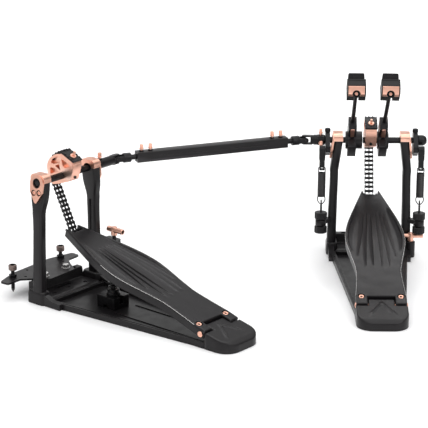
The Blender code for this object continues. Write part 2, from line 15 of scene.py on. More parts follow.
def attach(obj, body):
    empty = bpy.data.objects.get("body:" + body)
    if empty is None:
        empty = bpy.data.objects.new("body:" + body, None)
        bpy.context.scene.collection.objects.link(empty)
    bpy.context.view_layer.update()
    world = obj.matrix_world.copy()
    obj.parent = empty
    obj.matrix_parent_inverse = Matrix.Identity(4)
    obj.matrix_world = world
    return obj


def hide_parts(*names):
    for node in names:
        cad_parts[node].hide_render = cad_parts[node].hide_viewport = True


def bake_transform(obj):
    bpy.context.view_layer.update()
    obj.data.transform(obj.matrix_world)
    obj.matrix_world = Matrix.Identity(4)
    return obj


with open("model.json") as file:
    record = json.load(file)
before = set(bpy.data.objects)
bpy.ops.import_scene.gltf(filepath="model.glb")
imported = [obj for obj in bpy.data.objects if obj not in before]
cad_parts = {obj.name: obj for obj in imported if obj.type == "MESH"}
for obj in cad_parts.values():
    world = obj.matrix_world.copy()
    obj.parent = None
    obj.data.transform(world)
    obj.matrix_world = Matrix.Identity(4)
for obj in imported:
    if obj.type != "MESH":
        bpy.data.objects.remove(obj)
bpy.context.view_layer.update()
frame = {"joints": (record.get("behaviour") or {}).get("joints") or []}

MM = 0.001
SIDES = {"left": -1, "right": 1}


def joint(name):
    return next(j for j in frame["joints"] if j["name"] == name)


def joint_place(name):
    return Vector(joint(name)["pos_m"]) / MM


# Places in the CAD

AXLE_Z = joint_place("main_rotor_turn").z
AXLE = Vector((0, 0, AXLE_Z))
HINGE = joint_place("main_treadle_hinge")
TOE = joint_place("main_chain_pivot")
MAIN_CROSS = joint_place("drive_shaft_turn")
SLAVE_CROSS = joint_place("slave_shaft_rod_turn")
SLAVE_AXIS = Vector(joint("slave_rotor_turn")["axis"])
SLAVE_FLOOR = joint_place("slave_rotor_turn") - AXLE
MAIN = Matrix.Identity(4)
SLAVE = Matrix.Translation(SLAVE_FLOOR) @ Matrix.Rotation(math.atan2(-SLAVE_AXIS.y, -SLAVE_AXIS.x), 4, "Z")
PEDALS = {"main": MAIN, "slave": SLAVE}

STRAND_TOP = AXLE + Vector((0, 30, 0))
BOARD_SLOPE = math.radians(15.53)
BOARD_TOP = 8.45
BEATER_TILT = math.radians(43)
BEATER_X = {"left": -31.5, "right": 17.5}
ROD_OFFSET = 10
SPRING_X = 78.4
SPRING_Y = -20
PITCH = 7.1
CHAIN_X = {"main": -2, "slave": 0}
SLAVE_CROSS_X = 111
LUG = (66.5, -17.5)
BEATER_LEAN = {"left": 0.0, "right": math.radians(1.45)}


# Camera

def add_camera():
    data = bpy.data.cameras.new("camera")
    data.sensor_width = 36
    data.lens = 170.73
    data.clip_end = 50
    made = bpy.data.objects.new("camera", data)
    bpy.context.scene.collection.objects.link(made)
    yaw, pitch, roll = math.radians(-0.2906), math.radians(-18.0075), math.radians(0.3287)
    made.location = (-0.2336, -3.1075, 1.0734)
    turn = Matrix.Rotation(-yaw, 4, "Z") @ Matrix.Rotation(math.pi / 2 + pitch, 4, "X")
    made.rotation_euler = (turn @ Matrix.Rotation(roll, 4, "Z")).to_euler()
    bpy.context.scene.camera = made


# Materials

class Surface:
    """A Principled material whose colour, gloss and relief come from noise in object coordinates."""

    def __init__(self, name, colour):
        self.made = bpy.data.materials.new(name)
        self.made.use_nodes = True
        self.made.diffuse_color = (*colour, 1)
        self.nodes = self.made.node_tree.nodes
        self.links = self.made.node_tree.links
        self.shader = self.nodes["Principled BSDF"]
        self.place = self.nodes.new("ShaderNodeTexCoord").outputs["Object"]

    def node(self, kind, output, values, links):
        made = self.nodes.new("ShaderNode" + kind)
        if kind == "Mix":
            made.data_type = "RGBA"
        for socket, value in values.items():
            made.inputs[socket].default_value = value
        for socket, source in links.items():
            self.links.new(source, made.inputs[socket])
        return made.outputs[output]

    def feed(self, socket, source):
        self.links.new(source, self.shader.inputs[socket])

    def fed(self, socket):
        return self.shader.inputs[socket].links[0].from_socket

    def noise(self, size, detail, stretch=None):
        """Noise with features of about size millimetres. A stretch scales each axis of the place first."""
        place = self.node("Mapping", "Vector", {"Scale": stretch}, {"Vector": self.place}) if stretch else self.place
        return self.node("TexNoise", "Fac", {"Scale": 1 / (size * MM), "Detail": detail}, {"Vector": place})

    def ranged(self, value, low, high, start=0.3, end=0.7):
        limits = {"From Min": start, "From Max": end, "To Min": low, "To Max": high}
        return self.node("MapRange", "Result", limits, {"Value": value})


def material(name, colour, mottle, roughness=0.5, metallic=0.0, gloss=None, bumps=(), worn=None, **constants):
    """A noisy material.

    mottle is the noise's size and detail, then the lowest and highest multiple of the colour. gloss is a size, a
    detail and the spread of the roughness. Each bump is a size, a detail, a height in millimetres, a strength and
    perhaps a stretch. worn is the colour that shows on the sharpest edges, and how much of it.
    """
    made = Surface(name, colour)
    size, detail, *shares = mottle
    value = made.ranged(made.noise(size, detail), 0, 1)
    ends = {6 + i: (*[channel * share for channel in colour], 1) for i, share in enumerate(shares)}
    made.feed("Base Color", made.node("Mix", 2, ends, {0: value}))
    made.shader.inputs["Metallic"].default_value = metallic
    made.shader.inputs["Roughness"].default_value = roughness
    if gloss:
        size, detail, spread = gloss
        made.feed("Roughness", made.ranged(made.noise(size, detail), roughness - spread, roughness + spread))
    for i, (size, detail, height, strength, *stretch) in enumerate(bumps):
        links = {"Height": made.noise(size, detail, *stretch)}
        if i:
            links["Normal"] = made.fed("Normal")
        made.feed("Normal", made.node("Bump", "Normal", {"Distance": height * MM, "Strength": strength}, links))
    if worn:
        bare, amount = worn
        pointiness = made.nodes.new("ShaderNodeNewGeometry").outputs["Pointiness"]
        links = {0: made.ranged(pointiness, 0, amount, 0.56, 0.68), 6: made.fed("Base Color")}
        made.feed("Base Color", made.node("Mix", 2, {7: (*bare, 1)}, links))
    for socket, value in constants.items():
        made.shader.inputs[socket.replace("_", " ")].default_value = value
    return made.made


LOOKS = {
    "satin_black": material("satin_black_coat", (0.0105, 0.0095, 0.0103), (35, 4, 0.85, 1.15), 0.33, 0, (14, 4, 0.05),
                            ((0.9, 2, 0.03, 0.6), (6, 2, 0.05, 0.3)), ((0.09, 0.085, 0.09), 0.7),
                            Specular_IOR_Level=0.24),
    "black_steel": material("blacked_steel", (0.011, 0.0105, 0.0115), (12, 4, 0.75, 1.3), 0.34, 0.5, (5, 4, 0.07),
                            ((0.5, 3, 0.015, 0.5, (1, 1, 0.2)),), ((0.22, 0.21, 0.21), 0.6),
                            Specular_IOR_Level=0.35),
    "satin_copper": material("satin_copper", (0.85, 0.475, 0.36), (18, 4, 0.92, 1.06), 0.33, 1, (4, 5, 0.06),
                             ((0.5, 2, 0.012, 0.6), (0.7, 3, 0.01, 0.35, (1, 0.08, 1))), ((0.93, 0.68, 0.58), 0.6)),
    "chain_black": material("chain_black", (0.011, 0.0105, 0.0115), (4, 4, 0.6, 1.6), 0.36, 0.6, (2, 4, 0.1),
                            ((0.6, 3, 0.02, 0.5),), ((0.25, 0.24, 0.24), 0.7)),
    "knurled_black": material("knurled_black", (0.009, 0.0085, 0.0095), (5, 4, 0.7, 1.4), 0.45, 0.4, (3, 4, 0.08),
                              ((0.5, 2, 0.03, 0.6),), ((0.14, 0.13, 0.13), 0.7)),
    "black_plastic": material("moulded_black", (0.0065, 0.006, 0.0065), (25, 3, 0.85, 1.2), 0.45, 0, (9, 3, 0.06),
                              ((0.6, 2, 0.03, 0.7),), ((0.05, 0.05, 0.05), 0.5), Specular_IOR_Level=0.3),
    "black_felt": material("pressed_felt", (0.0075, 0.007, 0.008), (1.6, 6, 0.6, 1.7), 0.95, 0, (2, 3, 0.04),
                           ((0.8, 6, 0.25, 0.8, (1, 1, 3)), (0.3, 4, 0.1, 0.6, (4, 1, 1))),
                           Sheen_Weight=0.06, Sheen_Roughness=0.5, Specular_IOR_Level=0.2),
    "brown_bolt": material("brown_steel", (0.19, 0.145, 0.13), (4, 4, 0.8, 1.25), 0.42, 0.8, (2, 4, 0.08),
                           ((0.4, 3, 0.02, 0.6),), ((0.42, 0.38, 0.36), 0.8)),
    "bright_steel": material("bright_steel", (0.62, 0.61, 0.60), (5, 4, 0.85, 1.1), 0.27, 1, (3, 4, 0.06),
                             ((0.5, 3, 0.012, 0.5),), ((0.8, 0.8, 0.8), 0.5)),
}
LOOKS["spring_black"] = LOOKS["black_steel"]


# Shapes: each returns a bmesh in millimetres

def loft(rings, closed=False):
    """Joins rings of equally many points, with a cap at each end or, when closed, with the first ring again."""
    made = bmesh.new()
    loops = [[made.verts.new(p) for p in ring] for ring in rings]
    count = len(rings[0])
    for low, high in zip(loops, loops[1:] + loops[:closed]):
        shift = min(range(count), key=lambda s: (high[s].co - low[0].co).length) if closed else 0
        for i in range(count):
            j = (i + 1) % count
            made.faces.new((low[i], low[j], high[(j + shift) % count], high[(i + shift) % count]))
    if not closed:
        made.faces.new(loops[0][::-1])
        made.faces.new(loops[-1])
    bmesh.ops.recalc_face_normals(made, faces=made.faces)
    return made


def prism(outline, low, high, axis="X"):
    """Extrudes an outline along an axis. X takes (y, z) points, Y takes (x, z) and Z takes (x, y)."""
    order = {"X": (2, 0, 1), "Y": (0, 2, 1), "Z": (0, 1, 2)}[axis]
    return loft([[[(*p[:2], level)[i] for i in order] for p in outline] for level in (low, high)])


def box(x, y, z):
    return prism([(x[0], y[0]), (x[1], y[0]), (x[1], y[1]), (x[0], y[1])], z[0], z[1], "Z")


def circle(radius, sides=40, centre=(0, 0), start=0.0):
    turn = 2 * math.pi / sides
    angles = [start + turn * i for i in range(sides)]
    return [(centre[0] + radius * math.cos(a), centre[1] + radius * math.sin(a)) for a in angles]


def arc(centre, radius, first, last, steps):
    """Points on an arc, angles in degrees."""
    angles = [math.radians(first + (last - first) * i / steps) for i in range(steps + 1)]
    return [(centre[0] + radius * math.cos(a), centre[1] + radius * math.sin(a)) for a in angles]


def rounded(outline, radius, steps=4):
    """The outline with each corner cut to a curve that starts up to radius from the corner."""
    points = [Vector(p) for p in outline]
    made = []
    for i, corner in enumerate(points):
        before, after = points[i - 1] - corner, points[(i + 1) % len(points)] - corner
        if min(before.length, after.length) < 0.01:
            made.append(tuple(corner))
            continue
        start = corner + before.normalized() * min(radius, before.length * 0.45)
        end = corner + after.normalized() * min(radius, after.length * 0.45)
        for k in range(steps + 1):
            t = k / steps
            made.append(tuple(start * (1 - t) ** 2 + corner * 2 * t * (1 - t) + end * t ** 2))
    return made


def rounded_rectangle(half_x, half_y, radius, steps=4):
    corners = ((1, 1, 0), (-1, 1, 90), (-1, -1, 180), (1, -1, 270))
    points = []
    for sx, sy, first in corners:
        centre = (sx * (half_x - radius), sy * (half_y - radius))
        points += arc(centre, radius, first, first + 90, steps)
    return points


def both_sides(half):
    return half + [(-x, y) for x, y in reversed(half)]


def frame_along(start, direction):
    """The matrix that takes +Z to direction and the origin to start."""
    turn = Vector((0, 0, 1)).rotation_difference(Vector(direction))
    return Matrix.Translation(Vector(start)) @ turn.to_matrix().to_4x4()


def bar(start, end, radius, sides=32):
    start, end = Vector(start), Vector(end)
    made = prism(circle(radius, sides), 0, (end - start).length, "Z")
    made.transform(frame_along(start, end - start))
    return made


def lathe(profile, start=(0, 0, 0), direction=(0, 0, 1), sides=40):
    """Turns (radius, height) points about a line. An open profile ends on the axis; a ring's profile is closed."""
    made = bmesh.new()
    loops = []
    for radius, height in profile:
        points = [(0, 0)] if radius == 0 else circle(radius, sides)
        loops.append([made.verts.new((*p, height)) for p in points])
    pairs = list(zip(loops, loops[1:]))
    if profile[0][0] > 0:
        pairs.append((loops[-1], loops[0]))
    for low, high in pairs:
        for i in range(sides):
            j = (i + 1) % sides
            corners = [low[i % len(low)], low[j % len(low)], high[j % len(high)], high[i % len(high)]]
            made.faces.new(list(dict.fromkeys(corners)))
    bmesh.ops.recalc_face_normals(made, faces=made.faces)
    made.transform(frame_along(start, direction))
    return made


def tube(points, radius, sides=10, closed=False):
    """A round wire along a line of points."""
    points = [Vector(p) for p in points]
    count = len(points)
    rings = []
    across = None
    for i, point in enumerate(points):
        after = points[(i + 1) % count] if closed or i + 1 < count else point
        before = points[i - 1] if closed or i > 0 else point
        along = (after - before).normalized()
        if across is None:
            across = along.orthogonal().normalized()
        across = (across - along * across.dot(along)).normalized()
        up = along.cross(across)
        rings.append([point + across * x + up * y for x, y in circle(radius, sides)])
    return loft(rings, closed)


def coil(centre, radius, wire, low, high, turns, steps=22, sides=8):
    """A helical spring that stands along +Z, with its outside at radius."""
    middle = radius - wire / 2
    points = []
    for i in range(int(turns * steps) + 1):
        angle = 2 * math.pi * i / steps
        height = low + wire / 2 + (high - low - wire) * i / (turns * steps)
        points.append((centre[0] + middle * math.cos(angle), centre[1] + middle * math.sin(angle), height))
    return tube(points, wire / 2, sides)


def moved(shape, matrix):
    shape.transform(matrix)
    return shape


def shifted(shape, x, y, z):
    return moved(shape, Matrix.Translation((x, y, z)))


def mirrored(shape, side):
    """The shape as made for the right side, or its mirror image for the left."""
    if side < 0:
        shape.transform(Matrix.Scale(-1, 4, (1, 0, 0)))
        bmesh.ops.reverse_faces(shape, faces=shape.faces)
    return shape


def together(*shapes):
    """All shapes as one mesh, without a Boolean."""
    made = bmesh.new()
    for shape in shapes:
        mesh = bpy.data.meshes.new("part")
        shape.to_mesh(mesh)
        shape.free()
        made.from_mesh(mesh)
        bpy.data.meshes.remove(mesh)
    return made


def helper(shape):
    mesh = bpy.data.meshes.new("helper")
    shape.to_mesh(mesh)
    shape.free()
    made = bpy.data.objects.new("helper", mesh)
    bpy.context.scene.collection.objects.link(made)
    return made


def combine(base, others, operation):
    """Applies one exact Boolean for each other shape and returns the result."""
    helpers = [helper(shape) for shape in [base, *others]]
    for other in helpers[1:]:
        modifier = helpers[0].modifiers.new("combine", "BOOLEAN")
        modifier.operation = operation
        modifier.solver = "EXACT"
        modifier.object = other
    evaluated = helpers[0].evaluated_get(bpy.context.evaluated_depsgraph_get())
    made = bmesh.new()
    made.from_mesh(evaluated.to_mesh())
    evaluated.to_mesh_clear()
    for other in helpers:
        bpy.data.objects.remove(other)
    bmesh.ops.remove_doubles(made, verts=made.verts, dist=0.002)
    return made


def fuse(*shapes):
    return combine(shapes[0], shapes[1:], "UNION")


def carve(shape, *cutters):
    return combine(shape, cutters, "DIFFERENCE")


def show(name, shape, slot, body, place=MAIN, bevel=0.0, replaces=(), look=None, smooth=32):
    """Makes one visible piece that rides on a body. The bevel is in millimetres."""
    shape.transform(Matrix.Scale(MM, 4) @ place)
    mesh = bpy.data.meshes.new(name)
    shape.to_mesh(mesh)
    shape.free()
    mesh.materials.append(LOOKS[look or slot])
    mesh.polygons.foreach_set("use_smooth", [True] * len(mesh.polygons))
    mesh.set_sharp_from_angle(angle=math.radians(smooth))
    made = bpy.data.objects.new(name, mesh)
    bpy.context.scene.collection.objects.link(made)
    if bevel:
        modifier = made.modifiers.new("bevel", "BEVEL")
        modifier.width = bevel * MM
        modifier.segments = 3
        modifier.limit_method = "ANGLE"
        modifier.angle_limit = math.radians(smooth)
        modifier.harden_normals = True
    if isinstance(body, str):
        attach(made, body)
    else:
        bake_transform(made)
    if replaces:
        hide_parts(*replaces)
    return made


# Relief slabs: an outline whose top follows a height function

def edge_distance(point, outline):
    nearest = 1e9
    for i, start in enumerate(outline):
        end = outline[(i + 1) % len(outline)]
        ax, ay = end[0] - start[0], end[1] - start[1]
        bx, by = point[0] - start[0], point[1] - start[1]
        t = min(max((ax * bx + ay * by) / max(ax * ax + ay * ay, 1e-12), 0), 1)
        nearest = min(nearest, (bx - ax * t) ** 2 + (by - ay * t) ** 2)
    return math.sqrt(nearest)


def inside(point, outline):
    hit = False
    for i, (x0, y0) in enumerate(outline):
        x1, y1 = outline[(i + 1) % len(outline)]
        if (y0 > point[1]) != (y1 > point[1]) and point[0] < (x1 - x0) * (point[1] - y0) / (y1 - y0) + x0:
            hit = not hit
    return hit


def resampled(outline, spacing):
    points = []
    for i, start in enumerate(outline):
        start, end = Vector(start), Vector(outline[(i + 1) % len(outline)])
        steps = max(1, round((end - start).length / spacing))
        points += [tuple(start.lerp(end, k / steps)) for k in range(steps)]
    return points


def relief(outline, low, height, spacing, lines=(), insets=(0.4, 1.0, 1.8)):
    """A slab from low up to height(x, y, distance from the edge), with creases along the given lines."""
    ring = resampled(outline, spacing)
    points = [Vector(p) for p in ring]
    edges = [(i, (i + 1) % len(ring)) for i in range(len(ring))]
    for line in lines:
        first = len(points)
        points += [Vector(p) for p in line]
        edges += [(first + i, first + i + 1) for i in range(len(line) - 1)]
    for inset in insets:
        for i, here in enumerate(ring):
            along = (Vector(ring[(i + 1) % len(ring)]) - Vector(ring[i - 1])).normalized()
            inner = Vector(here) + Vector((-along.y, along.x)) * inset
            if inside(inner, outline) and edge_distance(inner, outline) > inset * 0.96:
                points.append(inner)
    creases = [Vector(p) for line in lines for p in line]
    low_x, high_x = min(p[0] for p in outline), max(p[0] for p in outline)
    low_y, high_y = min(p[1] for p in outline), max(p[1] for p in outline)
    for j in range(int((high_y - low_y) / spacing)):
        y = low_y + (j + 0.5) * spacing
        near = [p for p in creases if abs(p.y - y) < spacing * 0.5]
        for i in range(int((high_x - low_x) / spacing) + 1):
            point = Vector((low_x + (i + 0.5 * (j % 2)) * spacing, y))
            if any(abs(p.x - point.x) < spacing * 0.4 for p in near) or not inside(point, outline):
                continue
            if edge_distance(point, outline) > insets[-1] + spacing * 0.4:
                points.append(point)
    found = geometry.delaunay_2d_cdt(points, edges, [], 1, 1e-4)
    made = bmesh.new()
    verts = [made.verts.new((p.x, p.y, height(p.x, p.y, edge_distance(p, outline)))) for p in found[0]]
    for face in found[2]:
        made.faces.new([verts[i] for i in face])
    rim = [edge for edge in made.edges if len(edge.link_faces) == 1]
    skirt = bmesh.ops.extrude_edge_only(made, edges=rim)["geom"]
    for vertex in (v for v in skirt if isinstance(v, bmesh.types.BMVert)):
        vertex.co.z = low
    bottom = [edge for edge in skirt if isinstance(edge, bmesh.types.BMEdge) and len(edge.link_faces) == 1]
    bmesh.ops.edgeloop_fill(made, edges=bottom)
    bmesh.ops.recalc_face_normals(made, faces=made.faces)
    return made


def rounding(distance, radius):
    """How far a rounded edge has dropped at a distance from the outline."""
    if distance >= radius:
        return 0.0
    return radius - math.sqrt(radius * radius - (radius - distance) ** 2)


# Small fasteners, standing along +Z from the origin

def key_screw():
    """A square-headed screw for a drum key, with its collar and stem."""
    stem = lathe([(0, 0), (2.1, 0), (2.1, 3.4), (3.6, 3.6), (3.6, 4.8), (2.6, 5.4), (0, 5.4)], sides=24)
    head = loft([[(x, y, z) for x, y in rounded_rectangle(half, half, 0.6, 2)]
                 for half, z in ((1.9, 5.2), (2.4, 5.6), (2.4, 10.2), (1.9, 10.8))])
    return together(stem, head)


def key_screw_base():
    return lathe([(0, -0.5), (4.2, -0.5), (4.2, 1.0), (3.7, 1.5), (0, 1.5)], sides=6)


def socket_screw(radius, height, socket, depth):
    """A round head with a hexagonal socket."""
    edge = min(0.5, height * 0.3)
    rim = [(0, 0), (radius, 0), (radius, height - edge), (radius - edge, height), (0, height)]
    key = prism(circle(socket, 6), height - depth, height + 1, "Z")
    return carve(lathe(rim, sides=36), key)


def hex_nut(across, height):
    corner = across / math.sqrt(3)
    profile = [(corner, 0), (corner, height - 0.6), (corner - 0.6, height)]
    rings = [[(x, y, z) for x, y in circle(radius, 6)] for radius, z in profile]
    return loft(rings)


def thread(radius, low, high, pitch):
    """A stem with ring-shaped threads."""
    profile = [(0, low)]
    count = int((high - low) / pitch)
    for i in range(count):
        base = low + i * pitch
        profile += [(radius - 0.3, base), (radius, base + pitch * 0.5)]
    profile += [(radius - 0.3, high), (0, high)]
    return lathe(profile, sides=24)


def knurl(radius, low, high, teeth, depth=0.45, edge=0.8):
    """A barrel with a straight knurl."""
    outline = []
    for i in range(teeth * 2):
        angle = math.pi * i / teeth
        reach = radius - depth * (i % 2)
        outline.append((reach * math.cos(angle), reach * math.sin(angle)))
    small = [(x * (1 - edge / radius), y * (1 - edge / radius)) for x, y in outline]
    levels = ((small, low), (outline, low + edge * 0.8), (outline, high - edge * 0.8), (small, high))
    return loft([[(x, y, z) for x, y in ring] for ring, z in levels])


# Chain: pins at the given (y, z) points, two rows of rollers and three rails of plates

def link_plate(start, end, x, thick, radius=2.6, waist=1.3):
    """A plate with two round ends and a waist."""
    along = Vector(end) - Vector(start)
    half = along.length / 2
    points = arc((half, 0), radius, -100, 100, 10) + [(0, waist)]
    points += arc((-half, 0), radius, 80, 280, 10) + [(0, -waist)]
    centre = (Vector(start) + Vector(end)) / 2
    across = Vector((-along.y, along.x)).normalized()
    along = along.normalized()
    outline = [tuple(centre + along * px + across * py) for px, py in points]
    return prism(outline, x - thick / 2, x + thick / 2, "X")


def chain(pins):
    parts = []
    for i, (start, end) in enumerate(zip(pins, pins[1:])):
        rails = (6.7, -6.7, 0.0) if i % 2 else (5.75, -5.75, 1.0, -1.0)
        for x in rails:
            parts.append(link_plate(start, end, x, 0.8))
    for y, z in pins:
        rivet = [(0, -7.15), (1.1, -7.15), (1.3, -6.9), (1.3, 6.9), (1.1, 7.15), (0, 7.15)]
        parts.append(lathe(rivet, (0, y, z), (1, 0, 0), 14))
        for side in (-1, 1):
            parts.append(bar((side * 1.5, y, z), (side * 5.2, y, z), 1.95, 20))
    return together(*parts)


# Base and heel

BASE_OUTLINE = [(62, -19.5), (38.5, -285), (38.5, -308)]
BASE_INNER = [(54, -24.5), (32.5, -283), (32.5, -309)]


def inset_outline(amount, back):
    """The base outline moved in by amount, open towards the heel."""
    return both_sides([(62 - amount, -19.5 - amount * 0.7), (38.5 - amount, -285), (38.5 - amount, back)])


def base_plate():
    tray = prism(rounded(both_sides(BASE_OUTLINE), 5), 0, 9, "Z")
    groove = carve(prism(inset_outline(2.6, -306), 8.1, 10, "Z"), prism(inset_outline(4.6, -310), 7, 11, "Z"))
    floor = prism(both_sides(BASE_INNER), 3, 10, "Z")
    ribs = [box((x - 1.2, x + 1.2), (-292, -120), (2.5, 4.2)) for x in (-22, 22)]
    tray = carve(tray, floor, groove)
    return together(tray, box((-28, 28), (-340, -306), (0.05, 3)), *ribs)


def base_pads():
    """Rubber strips let into the underside."""
    strip = rounded_rectangle(28, 7, 3)
    return together(*[prism([(x, y + at) for x, y in strip], 0.02, 1.2, "Z") for at in (-50, -270)])


# The heel's top falls away from HEEL_FRONT. The chevron is a ridge CHEVRON_WIDE across its slanted arms.
HEEL_TOP, HEEL_FRONT, HEEL_SLOPE = 26.2, -300, 10.1 / 46
CHEVRON_TIP, CHEVRON_SLANT, CHEVRON_SQUEEZE, CHEVRON_WIDE = -298, 1.6, 0.53, 5.2


def heel_height(x, y, distance):
    z = HEEL_TOP + (y - HEEL_FRONT) * HEEL_SLOPE - max(0, -345 - y) * 0.45 - rounding(distance, 1.9)
    if distance > 2:
        lift = 1 - abs(chevron_place(x, y) * 2 / CHEVRON_WIDE - 1)
        z += 1.3 * max(0, lift) * chevron_fade(x)
    return z


def chevron_place(x, y):
    """How far a point lies under the upper line of the chevron."""
    return (CHEVRON_TIP - abs(x) * CHEVRON_SLANT - y) * CHEVRON_SQUEEZE


def chevron_fade(x):
    return min(1, max(0, (21 - abs(x)) / 6))


def heel_plate():
    """The heel block and its tongue. The top falls away to the rear and carries a raised chevron."""
    half = 38.45
    plan = [(19.7, -292), (19.7, -308), (half, -308), (half, -328)]
    plan += arc((half - 24, -327.9), 24, 0, -90, 14)[1:]
    lines = []
    for depth in (0.0, CHEVRON_WIDE / 2, CHEVRON_WIDE):
        for side in (-1, 1):
            stretch = [side * (0.4 + 20 * k / 14) for k in range(15)]
            lines.append([(x, CHEVRON_TIP - abs(x) * CHEVRON_SLANT - depth / CHEVRON_SQUEEZE) for x in stretch])
    block = relief(both_sides(plan)[::-1], 0.05, heel_height, 2.2, lines)
    cutters = [box((-29, 29), (-341, -300), (-1, 3.3)), box((-25, 25), (-308, -280), (-1, 10))]
    cutters.append(bar((-25, HINGE.y, HINGE.z), (25, HINGE.y, HINGE.z), 3.2))
    return carve(block, *cutters)


def hinge_pin():
    """The pin with a shallow screw head at each end."""
    profile = [(0, -39.3), (1.6, -39.3), (1.7, -38.9), (4.0, -38.9), (4.4, -38.5), (4.4, -37.8), (3, -37.8), (3, 37.8)]
    profile += [(4.4, 37.8), (4.4, 38.5), (4.0, 38.9), (1.7, 38.9), (1.6, 39.3), (0, 39.3)]
    return lathe(profile, HINGE, (1, 0, 0), 36)


# Cross member and posts

def shoe(side):
    """The boot that holds a post and runs down to the rim of the base."""
    rings = []
    for grow, z in ((0, 0.05), (0.4, 1.5), (0, 14), (-0.8, 18.6), (-2.0, 20)):
        plan = rounded_rectangle(9.2 + min(grow, 0), 17.5 + min(grow, 0), 6, 6)
        rings.append([(side * 59 + x, 3 + y, z) for x, y in plan])
    wedge = prism([(-12, 0.2), (-12, 17), (-30, 10.2), (-46, 9.2), (-46, 0.2)], 56 * side, 65.5 * side, "X")
    return together(loft(rings), wedge)


def shelf():
    profile = [(-19, 0.05), (-19, 6), (-14, 10), (17.6, 10), (20, 25), (32, 25), (32, 0.05)]
    casting = prism(rounded(profile, 1.6, 3), -52, 52, "X")
    slot = prism(rounded_rectangle(15, 2.6, 2.5), 5, 12, "Z")
    cutters = [bar((0, -2, 4), (0, -2, 12), 2.6)]
    for x in (-33, 33):
        cutters.append(bar((x, -4, 7), (x, -4, 12), 3.3))
        cutters.append(shifted(prism(rounded_rectangle(15, 4.2, 2), 20.5, 30, "Z"), x * 0.85, 26, 0))
    cutters.append(shifted(slot, 0, 9.5, 0))
    return carve(casting, *cutters)


def clamp_lug():
    """The round lug at the right of the main pedal that takes the clamp bolt."""
    x, y = LUG
    ring = lathe([(3.6, 9.5), (7.4, 9.5), (7.4, 24.8), (6.8, 25.5), (3.6, 25.5)], (x, y, 0), sides=36)
    foot = lathe([(0, 0.05), (7.4, 0.05), (7.4, 9.5), (0, 9.5)], (x, y, 0), sides=36)
    foot = carve(foot, box((50, 62.4), (-40, 0), (-1, 9.2)))
    arm = prism([(62.4, -20), (69, -24.5), (72, -11), (62.4, 2)], 0.05, 16, "Z")
    return together(ring, foot, carve(arm, bar((x, y, -1), (x, y, 30), 7.3)))


def hoop_lip():
    lip = prism(rounded([(-30, 30), (30, 30), (30, 47), (-30, 47)], 4), 0.05, 3.4, "Z")
    pad = prism(rounded([(-26, 33), (26, 33), (26, 45.5), (-26, 45.5)], 2.5), 3.2, 4, "Z")
    return lip, pad


def outer_face(z):
    return 59.1 + 0.12 * (AXLE_Z - z)


def post_levels():
    """Centre x, height, half width in x and half depth in y of each station up a post."""
    levels = [(60.2, 4.3, 7.2, 9), (60.0, 30, 7.1, 9), (59.4, 60, 7, 9), (58.8, 88, 6.7, 8.8), (58.2, 112, 6.5, 8.8),
              (57.9, 130, 6.55, 9.0)]
    for z, depth in ((141, 9.4), (148, 10), (155, 11.8), (161, 13.2), (168, 14.2), (174, 14.4), (AXLE_Z + 1, 14.2)):
        levels.append((outer_face(z) - 6.7, z, 6.7, depth))
    return levels


def post(prefix, side):
    rings = []
    for centre, z, half_x, half_y in post_levels():
        plan = rounded_rectangle(half_x, half_y, 3.6, 5)
        rings.append([(centre + x, y, z) for x, y in plan])
    shape = loft(rings)
    flute = [(52, -2.3), (53.6, -1.2), (53.6, 1.2), (52, 2.3), (40, 3), (40, -3)]
    shape = carve(shape, prism(flute, 30, 138, "Z"), bar((30, 0, AXLE_Z), (80, 0, AXLE_Z), 5.6, 40))
    extras = []
    if prefix == "main":
        ring = [(5, 53), (8.2, 53), (8.6, 53.5), (8.6, 61.5), (8.2, 62), (5, 62)]
        extras.append(lathe(ring, (SPRING_X, SPRING_Y, 0)))
        arm = prism(rounded([(57, -6), (61, 2), (76, -12), (72, -19)], 1.5), 54, 61, "Z")
        extras.append(carve(arm, bar((SPRING_X, SPRING_Y, 50), (SPRING_X, SPRING_Y, 65), 8.4)))
    elif side > 0:
        bracket = [(60, -6), (86, -6), (86, -30), (82, -34), (72, -34), (60, -14)]
        bracket = prism(rounded(bracket, 2.5), 66, 72, "Z")
        extras.append(carve(bracket, bar((78, -24, 60), (78, -24, 75), 3.4)))
        extras.append(prism(rounded([(-31, 66.2), (-8, 66.2), (-8, 50)], 2), 65.5, 71, "X"))
    return mirrored(together(shape, *extras), side)


HOUSING_SCREWS = ((-5.6, -13.6), (5.0, -15.2))


def housing(side):
    """A cap over the post head and a pointed plate down its outer face, with the bearing's hole."""
    top = AXLE_Z + 13
    low = AXLE_Z + 1.3
    cap = [(14.4, low), *arc((7.4, top - 7), 7, 0, 90, 8), *arc((-7.4, top - 7), 7, 90, 180, 8), (-14.4, low)]
    plate = [*arc((0, AXLE_Z), 13.4, -12, 192, 30), (-12.4, AXLE_Z - 14), (-2, AXLE_Z - 30), (2, AXLE_Z - 30)]
    plate = rounded([*plate, (12.4, AXLE_Z - 14)], 1.5, 3)
    face = prism(plate, outer_face(AXLE_Z) + 0.3, outer_face(AXLE_Z) + 3.3, "X")
    for vertex in face.verts:
        vertex.co.x += outer_face(vertex.co.z) - outer_face(AXLE_Z)
    shape = fuse(prism(cap, 45.6, outer_face(AXLE_Z) + 1.2, "X"), face)
    cutters = [bar((30, 0, AXLE_Z), (80, 0, AXLE_Z), 7.6, 40)]
    for y, z in HOUSING_SCREWS:
        cutters.append(bar((outer_face(AXLE_Z + z) + 1.2, y, AXLE_Z + z), (80, y, AXLE_Z + z), 4.6, 32))
    return mirrored(carve(shape, *cutters), side)


